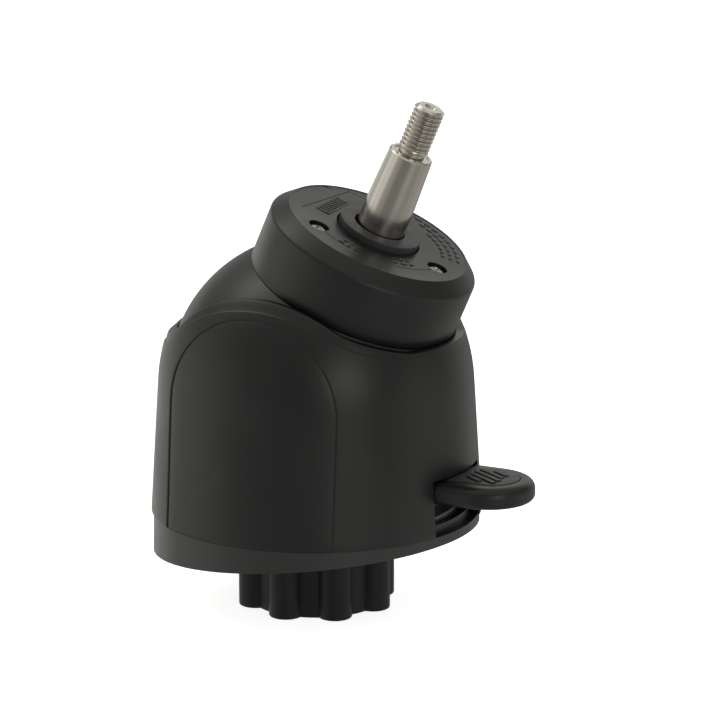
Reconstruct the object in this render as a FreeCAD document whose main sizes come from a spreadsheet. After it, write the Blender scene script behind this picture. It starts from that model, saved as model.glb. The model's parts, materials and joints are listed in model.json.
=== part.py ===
"""Tilting steering head for a boat helm: a locked, sprung tilt joint over a lobed pump spigot.

Frame: millimetres, +Z up along the spigot, origin where that axis meets the dash face of the base
ring. +X points at the release lever, and the head tilts about an axis parallel to Y. The head is
modelled upright about the tilt axis and then placed at its rest tilt.
"""
import math
import os
import re

import FreeCAD
import Part
import Sketcher
from FreeCAD import Placement, Rotation, Vector

DOC = FreeCAD.newDocument("TiltHead")
SHEET = DOC.addObject("Spreadsheet::Sheet", "Sizes")

SIZES = {
    # where things are
    "pivot_height": 62.0, "rest_tilt": 24.0, "notch_step": 12.0, "wedge_angle": 6.0,
    "running_gap": 0.05, "part_gap": 0.3,
    # base ring
    "ring_radius": 65.0, "ring_height": 10.5, "ring_draft": 0.5, "ring_hole": 30.0,
    "platform_radius": 61.6, "platform_height": 14.0, "platform_groove": 58.4,
    "groove_width": 1.0, "groove_deep": 1.2, "spigot_seat_height": 9.5,
    # lobed spigot
    "spigot_depth": 28.0, "spigot_flange": 38.0, "spigot_flange_base": 4.6, "spigot_core": 26.6,
    "spigot_clearance": 0.8, "lobe_circle": 26.6, "lobe_radius": 5.6, "lobes": 8,
    "insert_radius": 3.6, "insert_thread": 2.5, "insert_length": 14.0, "inserts": 4,
    # base frame
    "floor_radius": 50.0, "floor_height": 18.0, "hub_radius": 18.0, "hub_height": 40.0,
    "bush_wall": 2.5, "bush_flange": 2.0, "tongue_reach": 57.0, "tongue_thick": 1.2,
    "tongue_half_width": 18.0,
    "ear_inside": 38.0, "ear_thick": 8.0, "ear_half_width": 15.0, "ear_spread": 6.0,
    "pin_radius": 5.0, "pin_head": 2.5,
    "lug_inside": 18.0, "lug_thick": 4.0, "lug_radius": 4.6, "lug_foot": 5.0, "clip_thick": 0.8,
    # housing cover
    "cover_radius": 66.0, "cover_knee_radius": 62.6, "cover_knee_height": 63.5,
    "cover_shoulder": 72.0, "cover_top_radius": 47.5, "cover_top_height": 103.6, "cover_wall": 3.0,
    "dome_gap": 1.9, "arch_top": 103.2, "arch_foot": 82.2, "arch_crown": 56.0, "arch_reach": 58.0,
    "slot_half_width": 19.4, "slot_top": 33.0, "cover_boss": 6.0, "cover_boss_top": 30.0,
    # side panels
    "panel_half_width": 36.5, "panel_top": 96.5, "panel_deep": 1.4, "panel_proud": 0.45,
    "panel_gap": 0.15,
    # tilting head, from the tilt axis outwards
    "dome_radius": 58.5, "dome_wall": 3.0, "dome_top": 40.6, "dome_skirt": 6.0, "dome_lip": 7.5,
    "cap_radius": 42.5, "cap_shoulder": 62.9, "cap_face": 68.1, "cap_face_radius": 37.0,
    "cap_wall": 3.0, "cap_shelf": 4.0, "cap_rim_width": 0.6, "cap_rim_rise": 0.4,
    "cap_screw_circle": 28.0, "screw_well_radius": 4.1, "screw_well_deep": 2.0, "cap_posts": 3,
    "post_radius": 4.6, "collar_radius": 16.5, "collar_rise": 2.4, "collar_bore": 10.3,
    "flange_radius": 38.0, "flange_base": 34.0, "flange_top": 38.0, "tube_radius": 25.5,
    "arm_inside": 30.0, "arm_outside": 37.2, "arm_half_width": 12.0, "arm_bush_wall": 2.0,
    # screws: circles, and holes that are clear of a thread or cut by it
    "ring_screw_circle": 57.4, "ring_screw_clear": 2.3, "ring_screw_head": 4.3,
    "ring_screw_seat": 8.0, "boss_pilot": 1.75, "boss_pilot_deep": 12.0,
    "frame_screw_circle": 33.5, "frame_screw_clear": 2.7, "frame_screw_pilot": 2.1,
    "frame_pilot_deep": 4.7, "cap_screw_clear": 2.2, "post_pilot": 1.7, "post_pilot_deep": 12.0,
    "dome_screw_inset": 3.0, "dome_screw_clear": 1.6, "dome_pilot": 1.3, "dome_pilot_deep": 3.5,
    "pawl_screw_y": 11.5, "pawl_screw_clear": 1.6, "pawl_pilot": 1.5, "pawl_pilot_deep": 3.5,
    "pawl_screw_hole": 8.0, "screws_round": 4, "recess_half": 0.5,
    # bearings
    "race_outside": 21.0, "race_bore": 10.0, "bearing_width": 12.0, "lower_bearing": 30.0,
    "upper_bearing": 45.5, "ball_radius": 3.2, "ball_circle": 15.5, "balls": 9,
    "race_half_gap": 1.8, "spacer_wall": 2.5, "clip_width": 1.4, "clip_gap": 3.0,
    # steering shaft
    "shaft_radius": 9.525, "taper_start": 82.5, "shoulder": 103.0, "taper_end_radius": 8.67,
    "thread_radius": 6.0, "shaft_end": 123.1, "neck_radius": 7.0, "ball_end_radius": 11.0,
    "cross_pin_radius": 3.0, "roller_radius": 4.4, "roller_reach": 16.0, "key_half": 2.4,
    # output shaft
    "cup_radius": 19.0, "cup_bore": 11.7, "cup_base": 46.0, "cup_top": 72.0, "cup_flare": 14.8,
    "cup_floor_gap": 1.5, "stem_radius": 12.0, "output_end": -24.0, "socket_radius": 8.0,
    "socket_depth": 22.0,
    # lock sector and pawl, measured from the tilt axis
    "sector_radius": 38.0, "sector_inside": 20.5, "sector_thick": 4.0, "notch_radius": 2.4,
    "notch_out": 0.8, "lock_angle": 120.0, "pawl_gap": 0.35, "pawl_length": 50.0,
    "pawl_back": 6.6, "pawl_half": 3.0, "arm_back": 10.0,
    # release lever
    "lever_pin_x": 24.3, "lever_pin_z": 27.0, "lever_pin_radius": 3.0, "lever_base": 23.5,
    "lever_thick": 8.4, "lever_half_width": 18.6, "lever_reach": 94.0, "lever_neck": 48.0,
    "lever_full": 56.0, "knuckle_inside": 7.0, "knuckle_outside": 16.0, "knuckle_radius": 5.0,
    "lever_round": 3.8, "lever_under_round": 2.6,
    "pad_start": 62.0, "pad_centre": 77.0, "pad_margin": 7.2, "pad_deep": 0.8, "pad_proud": 0.3,
}
for row, (alias, number) in enumerate(SIZES.items(), start=1):
    SHEET.set(f"A{row}", alias.replace("_", " "))
    SHEET.set(f"B{row}", str(number))
    SHEET.setAlias(f"B{row}", alias)
DOC.recompute()


# ---------------------------------------------------------------- expressions and sketches

def bound(text):
    """The expression text with every size named in full, as other objects have to write it."""
    return re.sub(r"[a-z_]+", lambda word: f"Sizes.{word[0]}" if word[0] in SIZES else word[0], text)


def value(text):
    """What an expression in sheet sizes comes to."""
    result = SHEET.evalExpression(bound(text))
    return float(getattr(result, "Value", result))


def bind(thing, path, text):
    """Set a property, and keep it bound to the sheet where the text names a size."""
    if bound(text) != text:
        thing.setExpression(path, bound(text))


def new_body(label):
    body = DOC.addObject("PartDesign::Body", label)
    body.Label = label
    body.AllowCompound = True
    return body


def new_sketch(body, plane, offset="0"):
    """A sketch on one of the body's own origin planes, moved along that plane's normal."""
    sketch = body.newObject("Sketcher::SketchObject", f"{body.Name}_sketch")
    sketch.AttachmentSupport = [(origin_part(body, plane), "")]
    sketch.MapMode = "FlatFace"
    sketch.AttachmentOffset = Placement(Vector(0, 0, value(offset)), Rotation())
    bind(sketch, "AttachmentOffset.Base.z", offset)
    return sketch


def origin_part(body, role):
    return next(part for part in body.Origin.OriginFeatures if part.Role == role)


def fix(sketch, kind, *ends, size):
    """Add a dimension, and bind it."""
    number = sketch.addConstraint(Sketcher.Constraint(kind, *ends, value(size)))
    bind(sketch, f"Constraints[{number}]", size)


def pin_down(sketch, edge, end, x, y):
    """Fix one point of an edge at (x, y) from the sketch origin."""
    for kind, axis, size in (("DistanceX", -2, x), ("DistanceY", -1, y)):
        if abs(value(size)) < 1e-9:
            sketch.addConstraint(Sketcher.Constraint("PointOnObject", edge, end, axis))
        else:
            fix(sketch, kind, -1, 1, edge, end, size=size)


def outline(sketch, *steps):
    """A closed profile. A step is an (x, y) corner, or ("arc", radius, turn) ahead of the corner
    that the arc ends at, where turn is 1 anticlockwise and -1 clockwise."""
    corners = [step for step in steps if step[0] != "arc"]
    arcs = {}
    reached = 0
    for step in steps:
        if step[0] == "arc":
            arcs[reached % len(corners)] = step
        else:
            reached += 1
    points = [Vector(value(x), value(y), 0) for x, y in corners]
    first = sketch.GeometryCount
    ends = []
    for index, there in enumerate(points):
        here = points[index - 1]
        if index not in arcs:
            sketch.addGeometry(Part.LineSegment(here, there))
            ends.append((1, 2))
            continue
        radius, turn = value(arcs[index][1]), arcs[index][2]
        chord = there - here
        side = Vector(-chord.y, chord.x, 0).normalize() * turn
        away = math.sqrt(max(radius ** 2 - (chord.Length / 2) ** 2, 0))
        centre = (here + there) * 0.5 + side * away
        start, stop = (here, there) if turn > 0 else (there, here)
        angles = [math.atan2((p - centre).y, (p - centre).x) for p in (start, stop)]
        circle = Part.Circle(centre, Vector(0, 0, 1), radius)
        edge = sketch.addGeometry(Part.ArcOfCircle(circle, *angles))
        ends.append((1, 2) if turn > 0 else (2, 1))
        if away > 0.01:
            fix(sketch, "Radius", edge, size=arcs[index][1])
        else:
            kind, axis, size = "DistanceX", -2, corners[index][0]
            if abs(chord.x) > abs(chord.y):
                kind, axis, size = "DistanceY", -1, corners[index][1]
            if abs(value(size)) < 1e-9:
                sketch.addConstraint(Sketcher.Constraint("PointOnObject", edge, 3, axis))
            else:
                fix(sketch, kind, -1, 1, edge, 3, size=size)
    for index, (x, y) in enumerate(corners):
        after = (index + 1) % len(corners)
        here, there = first + index, first + after
        meeting = (here, ends[index][1], there, ends[after][0])
        sketch.addConstraint(Sketcher.Constraint("Coincident", *meeting))
        pin_down(sketch, here, ends[index][1], x, y)


def block(sketch, left, right, low, high):
    outline(sketch, (left, low), (right, low), (right, high), (left, high))


def circle(sketch, x, y, radius):
    centre = Vector(value(x), value(y), 0)
    edge = sketch.addGeometry(Part.Circle(centre, Vector(0, 0, 1), value(radius)))
    fix(sketch, "Radius", edge, size=radius)
    pin_down(sketch, edge, 3, x, y)


# ---------------------------------------------------------------- features

def turned(body, kind="Revolution", axis="V_Axis"):
    """Turn the body's last sketch a full turn about one of its axes."""
    sketch = last_sketch(body)
    feature = body.newObject(f"PartDesign::{kind}", f"{body.Name}_{kind}")
    feature.Profile = sketch
    feature.ReferenceAxis = (sketch, [axis])
    feature.Angle = 360
    return feature


def pushed(body, length, kind="Pad", middle=False, back=False):
    """Pad or pocket the body's last sketch; back turns it against the sketch's normal."""
    feature = body.newObject(f"PartDesign::{kind}", f"{body.Name}_{kind}")
    feature.Profile = last_sketch(body)
    feature.Length = value(length)
    bind(feature, "Length", length)
    feature.Midplane = middle
    feature.Reversed = back
    return feature


def last_sketch(body):
    return [part for part in body.Group if part.TypeId == "Sketcher::SketchObject"][-1]


def around(body, feature, count, role="Z_Axis"):
    """Repeat a feature evenly round one of the body's axes."""
    pattern = body.newObject("PartDesign::PolarPattern", f"{body.Name}_pattern")
    pattern.Originals = [feature]
    pattern.Axis = (origin_part(body, role), [""])
    pattern.Angle = 360
    pattern.Occurrences = int(value(count))
    bind(pattern, "Occurrences", count)
    body.Tip = pattern
    return pattern


def revolved(label, *steps):
    """A body of revolution about Z, from a profile of (radius, height) steps."""
    body = new_body(label)
    outline(new_sketch(body, "XZ_Plane"), *steps)
    turned(body)
    return body


def ring(label, inside, outside, low, high):
    return revolved(label, (inside, low), (outside, low), (outside, high), (inside, high))


def softened(body, radius, chosen, kind="Fillet"):
    """Round or chamfer the edges of the body that the chosen test picks."""
    DOC.recompute()
    edges = [f"Edge{n}" for n, edge in enumerate(body.Shape.Edges, start=1) if chosen(edge)]
    feature = body.newObject(f"PartDesign::{kind}", f"{body.Name}_{kind}")
    feature.Base = (feature.BaseFeature or body.Group[-2], edges)
    if kind == "Fillet":
        feature.Radius = value(radius)
        bind(feature, "Radius", radius)
    else:
        feature.Size = value(radius)
        bind(feature, "Size", radius)
    return feature


def placed(thing, x="0", y="0", z="0", axis=Vector(0, 1, 0), angle="0"):
    thing.Placement = Placement(Vector(value(x), value(y), value(z)), Rotation(axis, value(angle)))
    for path, text in (("x", x), ("y", y), ("z", z)):
        bind(thing, f"Placement.Base.{path}", text)
    bind(thing, "Placement.Rotation.Angle", angle)
    return thing


def in_head(thing):
    """Stand a piece that was modelled about the tilt axis on that axis, at the rest tilt."""
    return placed(thing, z="pivot_height", angle="rest_tilt")


def boolean(kind, label, base, *tools):
    """Part::Cut, Part::Common or Part::MultiFuse of whole sub-parts."""
    if kind == "MultiFuse":
        result = DOC.addObject("Part::MultiFuse", label)
        result.Shapes = [base, *tools]
    else:
        result = DOC.addObject(f"Part::{kind}", label)
        result.Base, result.Tool = base, tools[0]
    result.Label = label
    return result


# ---------------------------------------------------------------- base

def mounting_ring():
    """Wedge-shaped base ring: square to the column on top, leaning to the dash underneath."""
    body = new_body("mounting_ring")
    outline(new_sketch(body, "XZ_Plane"), ("ring_hole", "-ring_height"),
            ("ring_radius + ring_draft", "-ring_height"), ("ring_radius", "ring_height"),
            ("platform_radius", "ring_height"), ("platform_radius", "platform_height"),
            ("platform_groove + groove_width", "platform_height"),
            ("platform_groove + groove_width", "platform_height - groove_deep"),
            ("platform_groove", "platform_height - groove_deep"), ("platform_groove", "platform_height"),
            ("ring_hole", "platform_height"))
    turned(body)
    under = new_sketch(body, "XZ_Plane")
    outline(under, ("-80", "-80 * tan(wedge_angle)"), ("-80", "-40"), ("80", "-40"),
            ("80", "80 * tan(wedge_angle)"))
    pushed(body, "160", "Pocket", middle=True)
    circle(new_sketch(body, "XY_Plane", "spigot_seat_height"), "0", "0", "spigot_flange + part_gap")
    pushed(body, "60", "Pocket")
    for radius, level in (("ring_screw_clear", "platform_height"), ("ring_screw_head", "ring_screw_seat")):
        circle(new_sketch(body, "XY_Plane", level),
               "ring_screw_circle * cos(45)", "ring_screw_circle * sin(45)", radius)
        around(body, pushed(body, "60", "Pocket"), "screws_round")
    circle(new_sketch(body, "XY_Plane", "platform_height"),
           "frame_screw_circle", "0", "frame_screw_clear")
    around(body, pushed(body, "60", "Pocket"), "screws_round")
    return body


def lobed_spigot():
    """Pump spigot: a core with eight round lobes, four of them bored for inserts, under a flange."""
    bore = "stem_radius + spigot_clearance"
    body = revolved("lobed_spigot", (bore, "-spigot_depth"), ("spigot_core", "-spigot_depth"),
                    ("spigot_core", "spigot_flange_base"), ("spigot_flange", "spigot_flange_base"),
                    ("spigot_flange", "spigot_seat_height"), (bore, "spigot_seat_height"))
    circle(new_sketch(body, "XY_Plane", "-spigot_depth"), "lobe_circle", "0", "lobe_radius")
    around(body, pushed(body, "spigot_depth + spigot_flange_base"), "lobes")
    circle(new_sketch(body, "XY_Plane", "-spigot_depth"),
           "lobe_circle * cos(45)", "lobe_circle * sin(45)", "insert_radius")
    around(body, pushed(body, "insert_length + 2", "Pocket", back=True), "inserts")
    circle(new_sketch(body, "XY_Plane", "spigot_seat_height"),
           "frame_screw_circle", "0", "frame_screw_pilot")
    around(body, pushed(body, "frame_pilot_deep", "Pocket"), "screws_round")
    return body


def threaded_inserts():
    """Four brass inserts, M5, flush with the foot of every second lobe."""
    body = new_body("threaded_inserts")
    sketch = new_sketch(body, "XY_Plane", "-spigot_depth")
    for radius in ("insert_radius", "insert_thread"):
        circle(sketch, "lobe_circle * cos(45)", "lobe_circle * sin(45)", radius)
    around(body, pushed(body, "insert_length"), "inserts")
    return body


def screw_set(label, circle_radius, start, head, shank, count="screws_round", turn="0"):
    """Pan-head screws standing round a circle, heads upward, each with a cross recess.

    head and shank are each a radius and a length."""
    body = new_body(label)
    across, along = f"({circle_radius}) * cos({turn})", f"({circle_radius}) * sin({turn})"
    head_radius, head_height = head
    circle(new_sketch(body, "XY_Plane", start), across, along, head_radius)
    around(body, pushed(body, head_height), count)
    circle(new_sketch(body, "XY_Plane", start), across, along, shank[0])
    around(body, pushed(body, shank[1], back=True), count)
    reach = f"{head_radius} * 0.55"
    for wide, tall in ((reach, "recess_half"), ("recess_half", reach)):
        sketch = new_sketch(body, "XY_Plane", f"({start}) + ({head_height})")
        block(sketch, f"{across} - {wide}", f"{across} + {wide}", f"{along} - {tall}", f"{along} + {tall}")
        around(body, pushed(body, f"({head_height}) * 0.55", "Pocket"), count)
    return body


def base_frame():
    """Cast frame: floor with a front tongue, hub for the output bush, ears for the tilt pins, lugs for
    the lever."""
    body = new_body("base_frame")
    circle(new_sketch(body, "XY_Plane", "platform_height"), "0", "0", "floor_radius")
    pushed(body, "floor_height - platform_height")
    circle(new_sketch(body, "XY_Plane", "floor_height"), "0", "0", "hub_radius")
    pushed(body, "hub_height - floor_height")
    tip = "sqrt(tongue_reach^2 - tongue_half_width^2)"
    outline(new_sketch(body, "XY_Plane", "platform_height"), ("0", "-tongue_half_width"),
            (tip, "-tongue_half_width"), ("arc", "tongue_reach", 1), (tip, "tongue_half_width"),
            ("0", "tongue_half_width"))
    pushed(body, "tongue_thick")
    for side in (1, -1):
        ear = new_sketch(body, "XZ_Plane", f"{side} * ear_inside")
        outline(ear, ("-ear_half_width", "pivot_height"),
                ("-ear_half_width - ear_spread", "platform_height"),
                ("ear_half_width + ear_spread", "platform_height"), ("ear_half_width", "pivot_height"),
                ("arc", "ear_half_width", 1))
        pushed(body, "ear_thick", back=side < 0)
        lug = new_sketch(body, "XZ_Plane", f"{side} * lug_inside")
        outline(lug, ("lever_pin_x - lug_radius", "lever_pin_z"),
                ("lever_pin_x - lug_radius", "platform_height"),
                ("lever_pin_x + lug_radius + lug_foot", "platform_height"),
                ("lever_pin_x + lug_radius", "lever_pin_z"), ("arc", "lug_radius", 1))
        pushed(body, "lug_thick", back=side < 0)
    for x, z, radius in (("0", "pivot_height", "pin_radius"),
                         ("lever_pin_x", "lever_pin_z", "lever_pin_radius")):
        circle(new_sketch(body, "XZ_Plane"), x, z, radius)
        pushed(body, "120", "Pocket", middle=True)
    circle(new_sketch(body, "XY_Plane", "platform_height"), "0", "0", "stem_radius + bush_wall")
    pushed(body, "hub_height", "Pocket", back=True)
    circle(new_sketch(body, "XY_Plane", "floor_height"), "frame_screw_circle", "0", "frame_screw_clear")
    around(body, pushed(body, "20", "Pocket"), "screws_round")
    return body


def output_bush():
    """Flanged bronze bush between the hub and the output shaft."""
    inside = "stem_radius + running_gap"
    outside = "stem_radius + bush_wall"
    return revolved("output_bush", (inside, "platform_height"), (outside, "platform_height"),
                    (outside, "hub_height"), ("hub_radius", "hub_height"),
                    ("hub_radius", "hub_height + bush_flange"), (inside, "hub_height + bush_flange"))


def ear_pins():
    """Two headed pins that carry the head, pressed into the ears from outside."""
    body = new_body("tilt_pins")
    for side in (1, -1):
        circle(new_sketch(body, "XZ_Plane", f"{side} * (arm_inside + 1)"), "0", "pivot_height", "pin_radius")
        pushed(body, "ear_inside + ear_thick - arm_inside - 1", back=side < 0)
        circle(new_sketch(body, "XZ_Plane", f"{side} * (ear_inside + ear_thick)"),
               "0", "pivot_height", "pin_radius + pin_head")
        pushed(body, "pin_head", back=side < 0)
    return body


def lever_pin():
    body = new_body("lever_pin")
    circle(new_sketch(body, "XZ_Plane"), "lever_pin_x", "lever_pin_z", "lever_pin_radius")
    pushed(body, "2 * (lug_inside + lug_thick) + 3", middle=True)
    return body


def lever_pin_clips():
    """Two push-on clips outside the lugs."""
    body = new_body("lever_pin_clips")
    for side in (1, -1):
        sketch = new_sketch(body, "XZ_Plane", f"{side} * (lug_inside + lug_thick)")
        for radius in ("lug_radius", "lever_pin_radius"):
            circle(sketch, "lever_pin_x", "lever_pin_z", radius)
        pushed(body, "clip_thick", back=side < 0)
    return body


def lever_spring():
    """Torsion spring round the lever pin, one leg down to the floor and one out under the lever."""
    coil = value("lever_pin_radius") + 1.3
    wire = 0.6
    pitch = 1.6
    lever_leg_length = 16
    length = 5.75 * pitch
    path = Part.makeHelix(pitch, length, coil)
    section = Part.Wire(Part.Circle(Vector(coil, 0, 0), Vector(0, 1, 0), wire).toShape())
    coils = Part.Wire(path.Edges).makePipeShell([section], True, True)
    drop = value("lever_pin_z - floor_height") - 3 * wire
    floor_leg = Part.makeCylinder(wire, drop, Vector(coil, 0, 0), Vector(0, -1, 0))
    lever_leg = Part.makeCylinder(wire, lever_leg_length, Vector(0, -coil, length), Vector(1, 0, 0))
    spring = DOC.addObject("Part::Feature", "lever_spring")
    spring.Label = "lever_spring"
    spring.Shape = coils.fuse([floor_leg, lever_leg])
    centre = Vector(value("lever_pin_x"), length / 2, value("lever_pin_z"))
    spring.Placement = Placement(centre, Rotation(Vector(1, 0, 0), 90))
    return spring


# ---------------------------------------------------------------- housing cover and side panels

def cover_profile(outset="0"):
    """The cover's outside from foot to crown, set out by a distance."""
    return ((f"cover_radius + {outset}", "ring_height"),
            (f"cover_knee_radius + {outset}", "cover_knee_height"), ("arc", "cover_shoulder", 1),
            (f"cover_top_radius + {outset}", "cover_top_height"))


def housing_cover():
    """Moulded shell over the frame: a drafted cup whose rim rises over each cheek."""
    bowl = "dome_radius + dome_gap"
    blank = revolved("cover_blank", *cover_profile(),
                     (f"sqrt(({bowl})^2 - (cover_top_height - pivot_height)^2)", "cover_top_height"),
                     ("arc", bowl, -1), (bowl, "pivot_height"),
                     ("cover_radius - cover_wall", "ring_height"))
    swing = "2 * atan((arch_top - arch_foot) / arch_reach)"
    foot_radius = f"arch_reach / sin({swing}) - arch_crown"
    bend_x, bend_z = f"arch_crown * sin({swing})", f"arch_top - arch_crown * (1 - cos({swing}))"
    outline(new_sketch(blank, "XZ_Plane"),
            ("-arch_reach", "arch_foot"), ("arc", foot_radius, 1), (f"-({bend_x})", bend_z),
            ("arc", "arch_crown", -1), (bend_x, bend_z),
            ("arc", foot_radius, 1), ("arch_reach", "arch_foot"),
            ("80", "arch_foot"), ("80", "120"), ("-80", "120"), ("-80", "arch_foot"))
    pushed(blank, "160", "Pocket", middle=True)
    block(new_sketch(blank, "YZ_Plane", "40"), "-slot_half_width", "slot_half_width",
          "ring_height - 1", "slot_top")
    pushed(blank, "40", "Pocket", back=True)
    across = "ring_screw_circle * cos(45)"
    circle(new_sketch(blank, "XY_Plane", "platform_height"), across, across, "cover_boss")
    around(blank, pushed(blank, "cover_boss_top - platform_height"), "screws_round")
    circle(new_sketch(blank, "XY_Plane", "platform_height"), across, across, "boss_pilot")
    around(blank, pushed(blank, "boss_pilot_deep", "Pocket", back=True), "screws_round")
    recessed = blank
    for name, side in (("left", 1), ("right", -1)):
        recess = cheek(f"recess_{name}", side, "0", "-panel_deep", "5")
        recessed = boolean("Cut", f"cover_less_{name}", recessed, recess)
    recessed.Label = "housing_cover"
    return recessed


def cheek(label, side, gap, inner, outer):
    """The part of a cheek's skin that an arch covers, between two depths."""
    skin = revolved(f"{label}_skin", *cover_profile(outer),
                    (f"cover_top_radius + {inner}", "cover_top_height"),
                    ("arc", "cover_shoulder", -1),
                    (f"cover_knee_radius + {inner}", "cover_knee_height"),
                    (f"cover_radius + {inner}", "ring_height"))
    arch = new_body(f"{label}_arch")
    wide = f"panel_half_width - {gap}"
    foot = f"ring_height + {gap} - 0.1"
    outline(new_sketch(arch, "XZ_Plane", f"{side} * 20"),
            (f"-({wide})", "panel_top - panel_half_width"), (f"-({wide})", foot), (wide, foot),
            (wide, "panel_top - panel_half_width"), ("arc", wide, 1))
    pushed(arch, "60", back=side < 0)
    return boolean("Common", label, skin, arch)


# ---------------------------------------------------------------- tilting head

CLIP_LEVEL = "upper_bearing + bearing_width"
DOME_SCREW_RADIUS = "flange_radius - dome_screw_inset"
DOME_SCREW = (f"({DOME_SCREW_RADIUS}) * cos(45)", f"({DOME_SCREW_RADIUS}) * sin(45)")


def tilt_frame():
    """Cast carrier: bearing tube, flange for the dome, posts for the cap, two arms to the pins."""
    body = new_body("tilt_frame")
    step, tube_top, post_top = "race_outside - 4", f"{CLIP_LEVEL} + 2.5", "cap_face - cap_wall - 0.2"
    outline(new_sketch(body, "XZ_Plane"), (step, "lower_bearing - 2"),
            ("tube_radius", "lower_bearing - 2"), ("tube_radius", "flange_base"),
            ("flange_radius", "flange_base"), ("flange_radius", "flange_top"),
            ("tube_radius", "flange_top"), ("tube_radius", tube_top), ("race_outside", tube_top),
            ("race_outside", "lower_bearing"), (step, "lower_bearing"))
    turned(body)
    circle(new_sketch(body, "XY_Plane", "flange_top"), "cap_screw_circle", "0", "post_radius")
    around(body, pushed(body, f"{post_top} - flange_top"), "cap_posts")
    for side in (1, -1):
        arm = new_sketch(body, "XZ_Plane", f"{side} * arm_inside")
        outline(arm, ("-arm_half_width", "0"), ("arc", "arm_half_width", 1), ("arm_half_width", "0"),
                ("arm_half_width", "flange_base + 1"), ("-arm_half_width", "flange_base + 1"))
        pushed(body, "arm_outside - arm_inside", back=side < 0)
        eye = new_sketch(body, "XZ_Plane", f"{side} * arm_inside")
        circle(eye, "0", "0", "pin_radius + arm_bush_wall")
        pushed(body, "arm_outside - arm_inside", "Pocket", back=side > 0)
    circle(new_sketch(body, "XY_Plane", post_top), "cap_screw_circle", "0", "post_pilot")
    around(body, pushed(body, "post_pilot_deep", "Pocket"), "cap_posts")
    circle(new_sketch(body, "XY_Plane", "flange_top"), *DOME_SCREW, "dome_pilot")
    around(body, pushed(body, "dome_pilot_deep", "Pocket"), "screws_round")
    return in_head(body)


def arm_bushes():
    """Bronze bushes pressed into the arms, running on the tilt pins."""
    body = new_body("tilt_bushes")
    for side in (1, -1):
        sketch = new_sketch(body, "XZ_Plane", f"{side} * arm_inside")
        for radius in ("pin_radius + arm_bush_wall", "pin_radius + running_gap"):
            circle(sketch, "0", "0", radius)
        pushed(body, "arm_outside - arm_inside", back=side < 0)
    return in_head(body)


def dome():
    """Spherical shroud about the tilt axis, with a lip that screws to the carrier's flange."""
    inner = "dome_radius - dome_wall"
    lip = "flange_top + 0.1"
    body = revolved("dome", ("sqrt(dome_radius^2 - dome_skirt^2)", "-dome_skirt"), ("arc", "dome_radius", 1),
                    ("sqrt(dome_radius^2 - dome_top^2)", "dome_top"),
                    ("tube_radius + dome_lip", "dome_top"), ("tube_radius + dome_lip", lip),
                    (f"sqrt(({inner})^2 - ({lip})^2)", lip),
                    ("arc", inner, -1), (f"sqrt(({inner})^2 - dome_skirt^2)", "-dome_skirt"))
    circle(new_sketch(body, "XY_Plane", "dome_top"), *DOME_SCREW, "dome_screw_clear")
    around(body, pushed(body, "5", "Pocket"), "screws_round")
    return in_head(body)


def head_cap():
    """Round cap over the bearings: bevelled edge, and a sunk flat face with three screw wells."""
    foot, under, sunk = "dome_top + 0.1", "cap_face - cap_wall", "cap_face - cap_rim_rise"
    inner, rim = "cap_radius - cap_wall", "cap_face_radius - cap_rim_width"
    body = revolved("head_cap", ("cap_radius", foot), ("cap_radius", "cap_shoulder"),
                    ("cap_face_radius", "cap_face"), (rim, "cap_face"), (rim, sunk),
                    ("collar_radius", sunk), ("collar_radius", under),
                    (f"{inner} - cap_shelf", under), (inner, "cap_shoulder - 1.5"), (inner, foot))
    for radius, depth in (("screw_well_radius", "screw_well_deep"), ("cap_screw_clear", "10")):
        circle(new_sketch(body, "XY_Plane", "cap_face"), "cap_screw_circle", "0", radius)
        around(body, pushed(body, depth, "Pocket"), "cap_posts")
    return in_head(body)


def dust_collar():
    """Raised rubber-lipped collar that closes the cap round the shaft."""
    foot, top = "cap_face - cap_wall", "cap_face + collar_rise"
    body = revolved("dust_collar", ("collar_radius", foot), ("collar_radius", f"{top} - 1"),
                    ("collar_radius - 1", top), ("collar_bore + 1", top),
                    ("collar_bore", f"{top} - 1"), ("collar_bore", foot))
    return in_head(body)


def race(label, low, outer):
    """Half of a ball bearing: the outer or the inner race, with its ball groove."""
    middle, groove = f"{low} + bearing_width / 2", "ball_radius + running_gap"
    if outer:
        wall, face, turn = "race_outside", "ball_circle + race_half_gap", 1
    else:
        wall, face, turn = "race_bore", "ball_circle - race_half_gap", -1
    rise = f"sqrt(({groove})^2 - race_half_gap^2)"
    body = revolved(label, (wall, low), (face, low), (face, f"{middle} - {rise}"),
                    ("arc", groove, turn), (face, f"{middle} + {rise}"),
                    (face, f"{low} + bearing_width"), (wall, f"{low} + bearing_width"))
    return in_head(body)


def bearing_balls(label, low):
    """The balls of one bearing, as one node."""
    middle, places = value(f"{low} + bearing_width / 2"), int(value("balls"))
    ball = Part.makeSphere(value("ball_radius"), Vector(value("ball_circle"), 0, middle))
    turns = [Placement(Vector(), Rotation(Vector(0, 0, 1), 360 * n / places)) for n in range(places)]
    thing = DOC.addObject("Part::Feature", label)
    thing.Label = label
    thing.Shape = Part.makeCompound([ball.transformed(turn.toMatrix()) for turn in turns])
    return in_head(thing)


def circlip(label, inside, outside):
    """Flat ring with a gap, sprung into a groove above the upper bearing."""
    body = ring(label, inside, outside, CLIP_LEVEL, f"{CLIP_LEVEL} + clip_width")
    block(new_sketch(body, "XY_Plane", f"{CLIP_LEVEL} - 1"), "0", "40", "-clip_gap", "clip_gap")
    pushed(body, "6", "Pocket", back=True)
    return in_head(body)


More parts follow.
